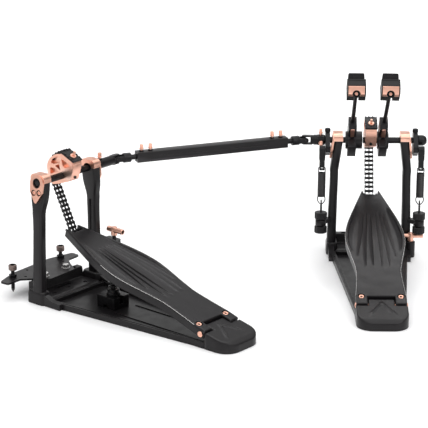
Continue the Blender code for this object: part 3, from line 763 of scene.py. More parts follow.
def bearing(side):
    """The two rings of the ball bearing in the housing."""
    outer = lathe([(6.6, -7), (7.5, -7), (7.5, 0.9), (6.6, 0.9)], sides=40)
    inner = lathe([(5.6, -7), (6.2, -7), (6.2, 0.6), (5.6, 0.6)], sides=40)
    shield = lathe([(6.15, -6), (6.65, -6), (6.65, 0.1), (6.15, 0.1)], sides=40)
    return mirrored(moved(together(outer, inner, shield), frame_along((60.4, 0, AXLE_Z), (1, 0, 0))), side)


def housing_screws(side):
    """The screws in the plate, and the dark ring round each."""
    screws, rings = [], []
    for y, z in HOUSING_SCREWS:
        base = frame_along((outer_face(AXLE_Z + z) + 1.0, y, AXLE_Z + z), (1, 0, 0))
        screws.append(moved(socket_screw(3.0, 1.7, 1.4, 1.3), base))
        rings.append(moved(lathe([(3.05, 0), (4.5, 0), (4.5, 1.1), (3.05, 1.1)], sides=36), base))
    return mirrored(together(*screws), side), mirrored(together(*rings), side)


# Footboard, in its own frame: X across, Y along the board from the hinge, Z square to its top

BOARD_HALF = [(37.5, -6), (37.8, 14), (35.5, 42), (34, 75), (36, 95), (40.5, 122), (44.6, 145), (46.2, 164),
              (45, 184), (40.8, 208), (33.5, 235), (13.2, 302)]
BOARD_PLACE = Matrix.Translation(HINGE) @ Matrix.Rotation(BOARD_SLOPE, 4, "X")

# Each groove: x near the toe, x near the heel, y near the toe, y near the heel, which side falls gently
GROOVES = ((-15.5, -30, 236, 112, -1), (-9.5, -18.5, 240, 84, -1), (-3.6, -6.5, 240, 84, -1),
           (3.6, 6.5, 240, 84, 1), (9.5, 18.5, 240, 84, 1), (15.5, 30, 236, 112, 1))
GROOVE_STEEP = 0.9
CRESCENT_HEEL, CRESCENT_TOE, CRESCENT_INSET = 128, 254, 5.5


def smooth_half(half, steps=5):
    """The half outline with its long flank drawn as one curve through the given points."""
    points = [Vector(p) for p in half]
    made = [half[0]]
    for i in range(1, len(points) - 1):
        p0, p1, p2, p3 = points[max(i - 1, 1)], points[i], points[i + 1], points[min(i + 2, len(points) - 1)]
        for k in range(steps):
            t = k / steps
            a = 2 * p1 + (p2 - p0) * t + (2 * p0 - 5 * p1 + 4 * p2 - p3) * t ** 2
            made.append(tuple((a + (3 * p1 - p0 - 3 * p2 + p3) * t ** 3) / 2))
    made.append(half[-1])
    return made


def board_outline():
    """The top's outline, with the heel slot and the notch for the chain, turning left."""
    half = smooth_half(BOARD_HALF) + [(12.6, 302), (9.6, 287.5)]
    slot = [(20.4, 12.5), (20.4, -6)]
    return slot + half + [(-x, y) for x, y in reversed(half)] + [(-x, y) for x, y in reversed(slot)]


def flank_x(y):
    """The board's half width at y."""
    for (x0, y0), (x1, y1) in zip(BOARD_HALF, BOARD_HALF[1:]):
        if y0 <= y <= y1:
            return x0 + (x1 - x0) * (y - y0) / (y1 - y0)
    return 13.2


def groove_centre(groove, t):
    x0, x1 = groove[:2]
    return x0 + (x1 - x0) * (0.35 * t + 0.65 * t * t) if abs(x1) > 20 else x0 + (x1 - x0) * t


def groove_depth(groove, x, y):
    y0, y1, side = groove[2:]
    t = (y0 - y) / (y0 - y1)
    if not 0 < t < 1:
        return 0.0
    taper = math.sin(math.pi * t) ** 0.6
    across = (x - groove_centre(groove, t)) * side
    gentle = 5.6 * taper
    share = 1 + across / GROOVE_STEEP if across < 0 else 1 - across / max(gentle, 0.1)
    return 1.9 * taper * max(0, share)


def crescent_depth(x, y):
    """The long hollow inside each flank, widest near the toe."""
    if not CRESCENT_HEEL < y < CRESCENT_TOE:
        return 0.0
    t = (CRESCENT_TOE - y) / (CRESCENT_TOE - CRESCENT_HEEL)
    taper = math.sin(math.pi * t) ** 0.7
    across = flank_x(y) - CRESCENT_INSET - abs(x)
    reach = 1.2 if across < 0 else 7.5 * taper + 0.1
    return 2.5 * taper * max(0, 1 - abs(across) / reach)


def board_height(x, y, distance):
    hollow = max([groove_depth(groove, x, y) for groove in GROOVES] + [crescent_depth(x, y)])
    return BOARD_TOP - rounding(distance, 1.7) - hollow


def board_creases():
    lines = []
    for groove in GROOVES:
        y0, y1, side = groove[2:]
        for shift in (0.0, -GROOVE_STEEP):
            line = []
            for k in range(2, 39):
                t = k / 40
                line.append((groove_centre(groove, t) + shift * side, y0 - (y0 - y1) * t))
            lines.append(line)
    for side in (-1, 1):
        lines.append([(side * (flank_x(y) - CRESCENT_INSET), y) for y in range(131, 253, 3)])
    return lines


SCREW_X, SCREW_Y = 29.3, 12
WELL_FLOOR = BOARD_TOP - 1.9


def board_top():
    skin = relief(board_outline(), BOARD_TOP - 4.2, board_height, 2.0, board_creases())
    wells = [bar((x, SCREW_Y, WELL_FLOOR), (x, SCREW_Y, 20), 5.7, 36) for x in (-SCREW_X, SCREW_X)]
    return moved(carve(skin, *wells), BOARD_PLACE)


def board_body():
    """The skirt under the top, open below, with the hinge ears."""
    half = [(x - 0.7, y) for x, y in smooth_half(BOARD_HALF, 4)]
    outer = half[:1] + [(x, y) for x, y in half[1:-1]] + [(12.6, 301.2)]
    inner = [(x - 3.4, y) for x, y in half if 40 < y < 240]
    inner = [(inner[0][0], 22), *inner, (14, 280)]
    slab = prism(both_sides(outer), -5, BOARD_TOP - 4.0, "Z")
    pointed = [(-12.8, 304), (-9.1, 287.4), (9.1, 287.4), (12.8, 304)]
    shape = carve(
        slab,
        prism(both_sides(inner), -7, BOARD_TOP, "Z"),
        prism(pointed, -7, 20, "Z"),
        box((-20.4, 20.4), (-9, 12.5), (-7, 20)),
        bar((-40, 0, 0), (40, 0, 0), 3.2),
    )
    return moved(shape, BOARD_PLACE)


def board_extras():
    """The clevis pin at the toe and the pad that the lower spring presses on."""
    pin = bar((-11, 296, 1.5), (11, 296, 1.5), 1.5, 20)
    ears = [prism(circle(3.6, 24, (296, 1.5)), *sorted((s * 8.3, s * 10.2)), "X") for s in (-1, 1)]
    pad = lathe([(0, 2.6), (9.5, 2.6), (9.5, 4.6), (0, 4.6)], (0, 212.7, 0))
    return moved(together(pin, *ears, pad), BOARD_PLACE)


def board_screws():
    """Countersunk heads whose hexagonal holes run through them."""
    rim = [(0, 0), (4.2, 0), (4.2, 1.0), (3.7, 1.5), (3.0, 1.2), (0, 1.2)]
    heads = []
    for x in (-SCREW_X, SCREW_X):
        hole = prism(circle(2.2, 6, (x, SCREW_Y)), 0, 20, "Z")
        heads.append(carve(lathe(rim, (x, SCREW_Y, WELL_FLOOR), sides=36), hole))
    return moved(together(*heads), BOARD_PLACE)


def painted_flank_highlight():
    """A thin bright steel line along each flank of the top: a painted highlight that stands in for the light on the
    chamfer.
    """
    lines = []
    for side in (-1, 1):
        flank = [(x, y) for x, y in smooth_half(BOARD_HALF, 8) if 8 < y < 200]
        lines.append(tube([(side * (x - 0.5), y, BOARD_TOP - 0.66) for x, y in flank], 0.4, 8))
    return moved(together(*lines), BOARD_PLACE)


# Cam

CAM_OUTLINE = [(-17, -5.5), (-5.5, -9.5), (9.5, -15), (21, -17.5), (28, -8), (31.5, 4), (30.5, 14), (25, 23),
               (14, 30.5), (0, 34), (-24.5, 23.5), (-23, 12)]
CHAIN_PATH = [(-1, 36.4), (9.5, 33.4), (19, 27), (26.5, 17.5), (30, 7), (30, 0.6)]
CAM_POCKETS = ([(21, 21), (11, 28), (4.5, 27), (3.6, 19.5), (17.8, 14.5), (22.5, 15.7)],
               [(1, 26), (-18, 19.5), (-17, 17), (-6.4, 13), (-1.7, 15.7)],
               [(14.4, 12.6), (5.7, 17), (3, 7.6)], [(24.6, 8.3), (15.7, 8.7), (7.4, 5.4), (24.2, -2)],
               [(8, -3), (22, -6.5), (20, -13), (10, -10.5)])


def offset_path(path, distance):
    """The path moved sideways, to its right when the distance is positive."""
    points = []
    for i, (y, z) in enumerate(path):
        before = Vector(path[max(i - 1, 0)])
        after = Vector(path[min(i + 1, len(path) - 1)])
        along = (after - before).normalized()
        points.append((y + along.y * distance, z - along.x * distance))
    return points


def evenly(path, pitch):
    """Points a pitch apart along a path, from its last point back towards its first."""
    points = [Vector(p) for p in path][::-1]
    made = [points[0]]
    here = points[0]
    index = 1
    while index < len(points):
        step = points[index] - here
        if (points[index] - made[-1]).length >= pitch:
            low, high = 0.0, 1.0
            for _ in range(30):
                middle = (low + high) / 2
                if (here + step * middle - made[-1]).length < pitch:
                    low = middle
                else:
                    high = middle
            here = here + step * high
            made.append(here)
        else:
            here = points[index]
            index += 1
    return [tuple(p) for p in made][::-1]


def cam():
    outer = prism(rounded(CAM_OUTLINE, 3.5, 4), -8.8, 8.8, "X")
    floor = offset_path(CHAIN_PATH, 3.2)
    channel = prism([*floor, (9, -32), (60, -32), (60, 60), (-1, 60)], -7.5, 7.5, "X")
    cutters = [channel, prism(circle(5.6, 6), -20, 20, "X")]
    for pocket in CAM_POCKETS:
        for side in (-1, 1):
            cutters.append(prism(rounded(pocket, 1.2, 3), *sorted((side * 3.6, side * 12)), "X"))
    return moved(carve(outer, *cutters), Matrix.Translation(AXLE))


def cam_strap():
    """The flat strap that holds the chain's end on top of the cam, with a crown of plates at its front."""
    strap = [(-25.2, 26.6), (-1, 37.6), (0.3, 34.8), (-24, 24.2)]
    parts = [prism(rounded(strap, 0.8, 2), -9.8, 9.8, "X")]
    for side in (-1, 1):
        for y in (-20, -14, -8):
            tip = 37.2 + (y + 1) * 0.454
            tooth = [(y - 2.8, tip - 3), (y - 0.6, tip + 1.6), (y + 0.9, tip + 1.6), (y + 2.8, tip - 0.6)]
            parts.append(prism(tooth, *sorted((side * 7.4, side * 9.8)), "X"))
        for x, top in ((8.6, 38.8), (3.0, 39.4)):
            plate = [(-3.4, 34.5), (-2.6, top - 2), (-0.6, top), (1.8, top), (3.6, top - 1.8), (4.2, 35.8), (1, 34)]
            parts.append(prism(rounded(plate, 1.0, 2), side * x - 0.8, side * x + 0.8, "X"))
    return moved(together(*parts), Matrix.Translation(AXLE))


def strap_screw():
    """The round copper screw on the strap."""
    direction = Vector((0, -0.414, 0.91))
    head = together(lathe([(0, 0), (4.9, 0), (4.9, 1.2), (4.3, 1.9), (0, 1.9)], sides=36),
                    moved(key_screw(), Matrix.Translation((0, 0, 1.2)) @ Matrix.Scale(0.7, 4)))
    return moved(head, frame_along(AXLE + Vector((0, -15.5, 31.2)), direction))


def cam_chain_pins():
    return [(y, z + AXLE_Z) for y, z in evenly(CHAIN_PATH, PITCH)]


def strand_pins():
    count = round((STRAND_TOP - TOE).length / PITCH)
    points = [TOE.lerp(STRAND_TOP, i / count) for i in range(count)]
    return [(p.y, p.z) for p in points]


# Axles, yokes and shaft

def hex_bar(low, high):
    """A hexagonal bar along X with chamfered ends."""
    rings = []
    for radius, x in ((4.6, low), (5.2, low + 0.6), (5.2, high - 0.6), (4.6, high)):
        rings.append([(x, y, z + AXLE_Z) for y, z in circle(radius, 6)])
    return loft(rings)


def prong(side):
    """One arm of a yoke, with a round end about the cross pin."""
    outline = [(12, -4.1), (12, 4.1), *arc((-0.2, 0), 4.1, 90, 270, 16)]
    return prism(outline, *sorted((4.9 * side, 7.3 * side)), "Z")


def yoke(length, with_cross):
    """A fork on a round hub along +X from the middle of its joint, its prongs above and below."""
    hub = [(0, 9.3), (6.2, 9.3), (7.5, 10.6), (7.5, length - 1), (6.7, length), (0, length)]
    shape = together(lathe(hub, (0, 0, 0), (1, 0, 0)), prong(1), prong(-1))
    for side in (-1, 1):
        rivet = [(0, 7.0 * side), (1.9, 7.0 * side), (1.6, 7.5 * side), (0, 7.5 * side)]
        shape = together(shape, lathe(rivet, sides=20))
    if with_cross:
        ball = lathe([(0, -4.3), (2.4, -3.7), (3.8, -2), (4.2, 0), (3.8, 2), (2.4, 3.7), (0, 4.3)], sides=24)
        shape = together(shape, ball, bar((0, 0, -7), (0, 0, 7), 1.9, 20), bar((0, -4.8, 0), (0, 4.8, 0), 1.9, 20))
        shape.transform(Matrix.Rotation(math.pi / 2, 4, "X"))
    return shape


def joint_frame(centre, direction):
    """Takes +X to a level direction, at the middle of a joint."""
    return Matrix.Translation(centre) @ Matrix.Rotation(math.atan2(direction.y, direction.x), 4, "Z")


def main_axle():
    return hex_bar(-13.5, 74.5)


def axle_cap():
    profile = [(0, 73.6), (7.6, 73.6), (8.6, 74.6), (8.6, 80.5), (8.3, 82.6), (7.4, 84.8), (6.0, 86.6), (4.0, 87.8),
               (0, 88.4)]
    return lathe(profile, AXLE, (1, 0, 0), 48)


def slave_axle():
    centre = Vector((SLAVE_CROSS_X, 0, AXLE_Z))
    fork = moved(yoke(44, False), joint_frame(centre, Vector((-1, 0, 0))))
    return together(hex_bar(-61, SLAVE_CROSS_X - 34), fork)


def drive_socket():
    """The left rotor's axle, with the socket and the first yoke on its end."""
    fork = moved(yoke(32.5, False), joint_frame(MAIN_CROSS, Vector((1, 0, 0))))
    collar = [(0, -92), (7.2, -92), (8.2, -91), (8.2, -74.6), (7.4, -73.6), (0, -73.6)]
    waist = lathe(collar, AXLE, (1, 0, 0))
    block = prism(rounded([(-7.4, 7.4), (7.4, 7.4), (7.4, -7.4), (-7.4, -7.4)], 2), -85.5, -75.5, "X")
    return together(hex_bar(-80, -15), fork, waist, moved(block, Matrix.Translation(AXLE)))


def inner_rod(centre, direction, reach):
    stem = [(0, 20), (4.2, 20), (4.2, reach - 1), (3.4, reach), (0, reach)]
    shape = together(yoke(22.5, True), lathe(stem, (0, 0, 0), (1, 0, 0)))
    return moved(shape, joint_frame(centre, direction))


TUBE_START = 31.7
SHAFT = SLAVE_CROSS - MAIN_CROSS


def tube_frame():
    return joint_frame(MAIN_CROSS, SHAFT)


def drive_tube():
    length = SHAFT.length
    outer = prism(rounded_rectangle(8.25, 8.25, 1.4, 4), TUBE_START, length - TUBE_START, "X")
    grooves = [prism([(8.6 * s, -1.2), (7.8 * s, -0.6), (7.8 * s, 0.6), (8.6 * s, 1.2)], TUBE_START + 36,
                     length - TUBE_START - 36, "X") for s in (-1, 1)]
    return moved(carve(outer, bar((0, 0, 0), (length, 0, 0), 4.6, 36), *grooves), tube_frame())


def tube_screw_places():
    length = SHAFT.length - TUBE_START
    return [TUBE_START + 10, TUBE_START + 24.5, length - 23, length - 8.5]


def tube_screws(make):
    return moved(together(*[shifted(make(), x, 0, 8.25) for x in tube_screw_places()]), tube_frame())


# Beaters, in their own frame: X across, Y along the strike, Z along the rod

BEATER_PLACE = Matrix.Translation(AXLE) @ Matrix.Rotation(BEATER_TILT, 4, "X")


def beater_bore(high):
    return bar((0, ROD_OFFSET, -40), (0, ROD_OFFSET, high), 3.5, 32)


def beater_holder(side_name):
    x = BEATER_X[side_name]
    clamp = prism(rounded([(-3, 6), (-3, 37), (1, 41), (17, 41), (20, 38), (20, 6)], 1.2, 2), -6.4, 6.4, "X")
    hub = [(-17, 12), (-20, 8), (-20, -18), (-16, -22), (12, -22), (16, -18), (18, 12)]
    sleeve = (x - 9.5, -15) if side_name == "left" else (9.2, x + 9)
    collar = prism(circle(14, 48), sleeve[0] - x, sleeve[1] - x, "X")
    block = fuse(clamp, prism(rounded(hub, 2, 3), -6.4, 6.4, "X"), collar)
    bore = moved(beater_bore(60), Matrix.Rotation(BEATER_LEAN[side_name], 4, "Y"))
    cutters = [bore, prism(circle(5.6, 6, start=-BEATER_TILT), -20, 25, "X")]
    cutters.append(prism(rounded_rectangle(3.4, 6.6, 1.4), 11.2, 14, "Z"))
    bmesh.ops.translate(cutters[-1], verts=cutters[-1].verts, vec=(0, -10.1, 0))
    cutters.append(box((-8, 8), (-4, -2.2), (16, 34)))
    return carve(block, *cutters)


def holder_inlay():
    inlay = prism(rounded_rectangle(3.1, 10.6, 1.2), 0, 1.7, "Z")
    return moved(inlay, frame_along((0, -2.4, 26), (0, -1, 0)))


def holder_screws():
    """The domed screw under the hub and the clamp screws at the front."""
    dome = lathe([(0, 0), (4.7, 0), (4.4, 1.2), (3.4, 2.2), (1.8, 2.8), (0, 3)], (0, 1, -21.9), (0, 0, -1), 32)
    clamp = [moved(socket_screw(3.2, 2.0, 1.5, 1.3), frame_along((0, 20, z), (0, 1, 0))) for z in (16, 30)]
    return together(dome, *clamp)


def beater_rod():
    profile = [(0, -4), (2.4, -4), (3.2, -3.2), (3.2, 129), (2.6, 129.6), (0, 129.6)]
    return lathe(profile, (0, ROD_OFFSET, 0))


HEAD_Y, HEAD_Z = 17, 131


def head_block(y, z):
    return [(HEAD_Y + y[0], HEAD_Z + z[0]), (HEAD_Y + y[1], HEAD_Z + z[0]), (HEAD_Y + y[1], HEAD_Z + z[1]),
            (HEAD_Y + y[0], HEAD_Z + z[1])]


# The cap's slanted back, and the middle and direction of the round recess in it
CAP_BACK = ((-8.6, 13.2), (-17.5, 4.9))
RECESS = (0, HEAD_Y - 17.0, HEAD_Z + 4.6)
RECESS_OUT = (0, -0.68, 0.735)


def recess():
    return bar(Vector(RECESS) - Vector(RECESS_OUT) * 6, Vector(RECESS) + Vector(RECESS_OUT) * 14, 6.1, 40)


def beater_head():
    body = prism(head_block((-17, 5), (-13.5, 13.5)), -14.5, 14.5, "X")
    waist = [prism(head_block((1.2, 3.0), (-16, 16)), *sorted((s * 13.7, s * 16)), "X") for s in (-1, 1)]
    waist.append(prism(head_block((1.2, 3.0), (12.8, 16)), -16, 16, "X"))
    pocket = prism(head_block((-18, -7.2), (-1.8, 15)), -12.9, 12.9, "X")
    cheeks = prism([(HEAD_Y + y, HEAD_Z + z) for y, z in ((-20, 20), (-9.6, 14.8), (-19.5, 5.4))], -16, 16, "X")
    slot = box((-3.6, 3.6), (HEAD_Y - 20, HEAD_Y - 7), (HEAD_Z - 15, HEAD_Z + 2.4))
    return carve(body, pocket, cheeks, slot, recess(), beater_bore(130), *waist)


def beater_cap():
    outline = [(-7.5, -1.5), (-7.5, 13.2), *CAP_BACK, (-17.5, -1.5)]
    cap = prism(rounded([(HEAD_Y + y, HEAD_Z + z) for y, z in outline], 0.9, 3), -12.6, 12.6, "X")
    return carve(cap, recess())


def head_screw():
    """The dark sleeve in the recess and the copper screw inside it."""
    floor = frame_along(Vector(RECESS) - Vector(RECESS_OUT) * 5.9, RECESS_OUT)
    sleeve = lathe([(0, 0), (6, 0), (6, 5), (5.2, 5), (5.2, 1), (0, 1)], sides=40)
    return moved(sleeve, floor), moved(socket_screw(2.6, 3.4, 1.1, 1.6), floor @ Matrix.Translation((0, 0, 0.9)))


def beater_felt():
    """A pressed felt block, softly rounded and faintly crowned at its striking face."""
    rings = []
    for k in range(7):
        depth = k / 6
        swell = 1 - 0.035 * (2 * depth - 1) ** 4
        ring = []
        for x, z in rounded_rectangle(12.55 * swell, 13.4 * swell, 1.8):
            crown = 0.5 * (1 - (x / 12.6) ** 2) * (1 - (z / 13.5) ** 2) if k == 6 else 0
            ring.append((x, HEAD_Y + 5.3 + 11.2 * depth + crown, HEAD_Z + z))
        rings.append(ring)
    return loft(rings)


# Rockers, hooks and side springs, made for the right side

PIN_Y, PIN_Z = SPRING_Y, AXLE_Z - 10


def rocker(side):
    body = [(-24, -14), (-19, -15.5), (-8, -24), (8, -24), (13, -10), (13, 8), (7, 13), (-7, 13), (-24, -5)]
    plate = moved(prism(rounded(body, 3.5), 66.05, 73.15, "X"), Matrix.Translation(AXLE))
    plate = carve(plate, moved(prism(circle(5.3, 6), 50, 90, "X"), Matrix.Translation(AXLE)))
    knob = [(0, 0), (3.4, 0), (3.4, 1.6), (4.6, 2.6), (4.6, 6.6), (3.8, 8.0), (2.2, 8.5), (0, 8.6)]
    knob = lathe(knob, (69.6, 0, AXLE_Z + 11), sides=32)
    pin = [(0, 0), (2.4, 0), (2.4, 12.4), (1.9, 13), (0, 13)]
    pin = lathe(pin, (70, PIN_Y, PIN_Z), (1, 0, 0), 28)
    screw = moved(socket_screw(3.4, 1.2, 1.6, 0.9), frame_along((73.0, 4, AXLE_Z - 15.5), (1, 0, 0)))
    return mirrored(together(plate, knob, pin, screw), side)


def spring_hook(side):
    """The knuckle on the rocker's pin and the strap down to the spring's loop."""
    top, low = AXLE_Z - 4, AXLE_Z - 44
    outline = arc((PIN_Y + 0.5, PIN_Z - 1), 6.9, -20, 200, 14)
    outline += [(-24, AXLE_Z - 24), (-23.6, low), (-16.4, low), (-16, AXLE_Z - 24)]
    outline = [(y, min(z, top)) for y, z in outline]
    body = prism(outline, 73.6, 83.2, "X")
    slot = [*arc((PIN_Y + 0.6, PIN_Z), 2.9, 90, -90, 8), *arc((PIN_Y - 3, PIN_Z), 2.9, 270, 90, 8)]
    window = bar((SPRING_X, -30, low + 4.2), (SPRING_X, -10, low + 4.2), 2.1, 24)
    cuts = [prism([(x, AXLE_Z - 22), (x, low - 2), (s, low - 2), (s, AXLE_Z - 27)], -40, 0, "Y")
            for x, s in ((70, 74.2), (86, 82.6))]
    return mirrored(carve(body, prism(slot, 70, 90, "X"), window, *cuts), side)


def upper_ring(side):
    """The rounded loop of wire between the hook and the spring."""
    middle = AXLE_Z - 43.8
    points = [(side * SPRING_X + x, SPRING_Y, middle + z) for x, z in rounded_rectangle(5.45, 4.45, 2.6, 5)]
    return tube(points, 0.75, 10, closed=True)


def lower_ring(side):
    """The loop under the spring, drawn in towards the eye it hooks through."""
    outline = [(-2.6, -100.2), (2.6, -100.2), (6.1, -94.5), (5.9, -88.5), (-5.9, -88.5), (-6.1, -94.5)]
    points = [(side * SPRING_X + x, SPRING_Y, AXLE_Z + z) for x, z in rounded(outline, 1.8, 4)]
    return tube(points, 0.85, 10, closed=True)


def side_spring(side):
    return coil((side * SPRING_X, SPRING_Y), 6.4, 1.5, AXLE_Z - 89, AXLE_Z - 47.5, 27, 20, 7)


def spring_eye(side):
    """The threaded stem with a ring at its top."""
    stem = shifted(thread(1.8, 44, 86.5, 1.0), side * SPRING_X, SPRING_Y, 0)
    turn = [(side * SPRING_X, SPRING_Y + y, 90.6 + z) for y, z in circle(3.6, 24)]
    neck = bar((side * SPRING_X, SPRING_Y, 84.5), (side * SPRING_X, SPRING_Y, 87.6), 1.5, 16)
    return together(stem, tube(turn, 1.0, 10, closed=True), neck)


def spring_adjuster(side):
    lower = knurl(10, 40.5, 51.3, 40)
    upper = knurl(10, 63.7, 74.5, 40)
    sleeve = [(2.3, 40.7), (4.6, 40.7), (4.6, 74.4), (2.3, 74.4)]
    shape = together(lower, upper, lathe(sleeve))
    return shifted(shape, side * SPRING_X, SPRING_Y, 0)


# Lower spring

BOARD_SPRING_Y = -95


def spring_block():
    lower = prism(rounded([(-17, -112), (17, -112), (17, -76), (-17, -76)], 3), 3.3, 21, "Z")
    notch = [box((-20, 20), (-98, -90), (1, 8)), box((-4, 4), (-115, -106), (10, 24))]
    seat = lathe([(0, 20), (10.5, 20), (10.5, 24), (9, 25.4), (9, 30), (0, 30)], (0, BOARD_SPRING_Y, 0))
    return together(carve(lower, *notch), seat)


def board_spring():
    return coil((0, BOARD_SPRING_Y), 8, 2.2, 30.2, 79.6, 8, 26, 9)


def spring_guide():
    """The rod inside the lower spring."""
    return lathe([(0, 28), (3.4, 28), (3.4, 50), (2.6, 51), (0, 51)], (0, BOARD_SPRING_Y, 0))


# T-bolts, hoop clamp and stabiliser

def t_bolt(foot, top, along, offset, radius):
    """A threaded stem with the core of its cross bar, and the bar of tube on a collar at its head."""
    foot, along = Vector(foot), Vector(along)
    head = Vector((foot.x, foot.y, top))
    stem = shifted(thread(3, foot.z, top - 8, 1.2), foot.x, foot.y, 0)
    collar = [(0, -9), (4.2, -9), (4.8, -8.2), (4.8, 3.6), (4.2, 4.8), (0, 5)]
    middle = head + along * offset
    wall = [(radius - 1.3, -15.4), (radius - 0.4, -15.4), (radius, -15.0)]
    pipe = lathe([*wall, *[(r, -along_bar) for r, along_bar in reversed(wall)]], middle, along, 36)
    core = bar(middle - along * 12, middle + along * 12, radius - 1.25, 24)
    return together(stem, core), together(lathe(collar, head, sides=36), pipe)


def hoop_jaw():
    profile = [(33.6, 14.6), (38, 12.2), (45.9, 12.7), (45.9, 16.4), (40, 19.9), (33.6, 21.9)]
    return prism(rounded(profile, 1.0, 3), -24, 24, "X")


def jaw_screws():
    places = [frame_along((x, 42.6, 18.0), (0, 0.5, 0.86)) for x in (-14, 14)]
    return together(*[moved(socket_screw(3, 1.4, 1.4, 1), place) for place in places])


STABILISER = Matrix.Translation((-2.7, 45, 0)) @ Matrix.Rotation(math.radians(4.3), 4, "Z")
SPUR_X, SPUR_Y = 55.8, 17.4


def stabiliser_plate():
    half = [(28, -35), (44, -12), (57, 2), (83, 2), (84, 18), (62, 24), (40, 29)]
    plate = prism(rounded(both_sides(half), 4), 25.3, 28.3, "Z")
    holes = [bar((side * SPUR_X, SPUR_Y, 20), (side * SPUR_X, SPUR_Y, 32), 3.5) for side in SIDES.values()]
    holes += [bar((x, y, 20), (x, y, 32), 2.1, 24) for x, y in ((-44, 2), (44, 2), (-20, 20), (20, 20))]
    return moved(carve(plate, *holes), STABILISER)


def plate_nuts():
    """The threaded bosses that the spur bolts run in."""
    nuts = [shifted(hex_nut(10.5, 4.2), s * SPUR_X, SPUR_Y, 28.3) for s in (-1, 1)]
    bored = [carve(nut, bar((s * SPUR_X, SPUR_Y, 20), (s * SPUR_X, SPUR_Y, 40), 3.2)) for nut, s in zip(nuts, (-1, 1))]
    return moved(together(*bored), STABILISER)


def plate_bolts():
    """The bright bolts that hold the plate to the cross member."""
    bolts = []
    for x in (-24, 24):
        bolt = together(lathe([(0, 0), (6.4, 0), (6.4, 1), (0, 1)], sides=36), shifted(hex_nut(9, 5), 0, 0, 1))
        bolts.append(shifted(bolt, x, -20, 28.3))
    return moved(together(*bolts), STABILISER)


def spur_foot(side):
    return Matrix.Translation(STABILISER @ Vector((side * SPUR_X, SPUR_Y, 0)))


def spur_stem(side):
    point = lathe([(0, 3), (2.7, 8.4), (2.7, 10), (0, 10)], sides=24)
    return moved(together(point, thread(2.95, 10, 39.2, 1.3)), spur_foot(side))


def spur_head(side):
    rim = knurl(6.4, 39, 47.5, 26, 0.35, 0.9)
    return moved(together(rim, lathe([(0, 47.2), (4.9, 47.2), (4.4, 47.5), (0, 47.5)])), spur_foot(side))


# Putting the pieces on their bodies

def show_pedal(prefix):
    place = PEDALS[prefix]
    main = prefix == "main"
    body, treadle, rotor, strand = (f"{prefix}_{name}" for name in ("frame", "treadle", "rotor", "chain_strand"))

    def add(name, shape, slot, on=body, bevel=0.0, nodes=(), smooth=32, x=0, look=None):
        nodes = [f"{prefix}_{node}" for node in nodes]
        matrix = place @ Matrix.Translation((x, 0, 0))
        show(f"{prefix}_{name}_look", shape, slot, on, matrix, bevel, nodes, look, smooth)

    add("base", base_plate(), "satin_black", bevel=0.7, nodes=["base_plate"])
    add("base_pads", base_pads(), "black_plastic", bevel=0.2)
    add("heel_block", heel_plate(), "satin_black", nodes=["heel_plate"], smooth=40)
    add("hinge_pin", hinge_pin(), "satin_copper", nodes=["hinge_pin"])
    extras = [clamp_lug()] if main else []
    add("cross_member", together(shelf(), shoe(1), shoe(-1), *extras), "satin_black", bevel=0.6, nodes=["cross_member"])
    screws = [((0, -2, 4.6), 2.5, 1.4), ((-33, -4, 7.2), 3.1, 1.6), ((33, -4, 7.2), 3.1, 1.6)]
    screws = [moved(socket_screw(r, 1.8, s, 1.2), Matrix.Translation(at)) for at, r, s in screws]
    add("shelf_screws", together(*screws), "black_steel", bevel=0.15)
    for name, side in SIDES.items():
        add("post_" + name, post(prefix, side), "satin_black", bevel=0.5, nodes=["post_" + name], smooth=50)
        add("housing_" + name, housing(side), "satin_copper", bevel=0.9, nodes=["housing_" + name])
        add("bearing_" + name, bearing(side), "black_steel", bevel=0.15)
        screws, rings = housing_screws(side)
        add("housing_screws_" + name, screws, "satin_copper", bevel=0.2)
        add("housing_rings_" + name, rings, "black_steel", bevel=0.15)
    add("spring_block", spring_block(), "black_steel", bevel=0.6, nodes=["spring_block"])
    add("spring_guide", spring_guide(), "black_steel", bevel=0.3)
    bend = (body, treadle, *(place @ Vector((0, BOARD_SPRING_Y, z)) * MM for z in (31, 79)))
    add("board_spring", board_spring(), "spring_black", on=bend, nodes=["board_spring"])
    add("board_top", board_top(), "satin_black", on=treadle, nodes=["footboard"], smooth=38)
    add("board_body", board_body(), "satin_black", on=treadle, bevel=0.5, smooth=38)
    add("board_extras", board_extras(), "black_steel", on=treadle, bevel=0.3)
    add("board_screws", board_screws(), "satin_copper", on=treadle, bevel=0.15)
    # The bright steel line along each flank is a painted highlight, not a part of the board.
    add("painted_flank_highlight", painted_flank_highlight(), "satin_black", on=treadle, look="bright_steel")
    x = CHAIN_X[prefix]
    add("chain", chain(strand_pins()), "chain_black", on=strand, bevel=0.15, nodes=["chain"], x=x)
    add("cam", cam(), "satin_copper", on=rotor, bevel=0.35, nodes=["cam"], smooth=38, x=x)
    add("cam_chain", chain(cam_chain_pins()), "chain_black", on=rotor, bevel=0.15, nodes=["cam_chain"], x=x)
    add("cam_strap", cam_strap(), "chain_black", on=rotor, bevel=0.25, x=x)
    add("strap_screw", strap_screw(), "satin_copper", on=rotor, bevel=0.2, x=x)
    low = frame_along((0, -18.6, AXLE_Z - 0.7), (0, -0.946, -0.324))
    add("cam_screw", moved(socket_screw(2.4, 1.6, 1.1, 0.9), low), "black_steel", on=rotor, bevel=0.15, x=x)
    axle = main_axle() if main else slave_axle()
    add("axle", axle, "black_steel", on=rotor, bevel=0.3, nodes=["axle"])


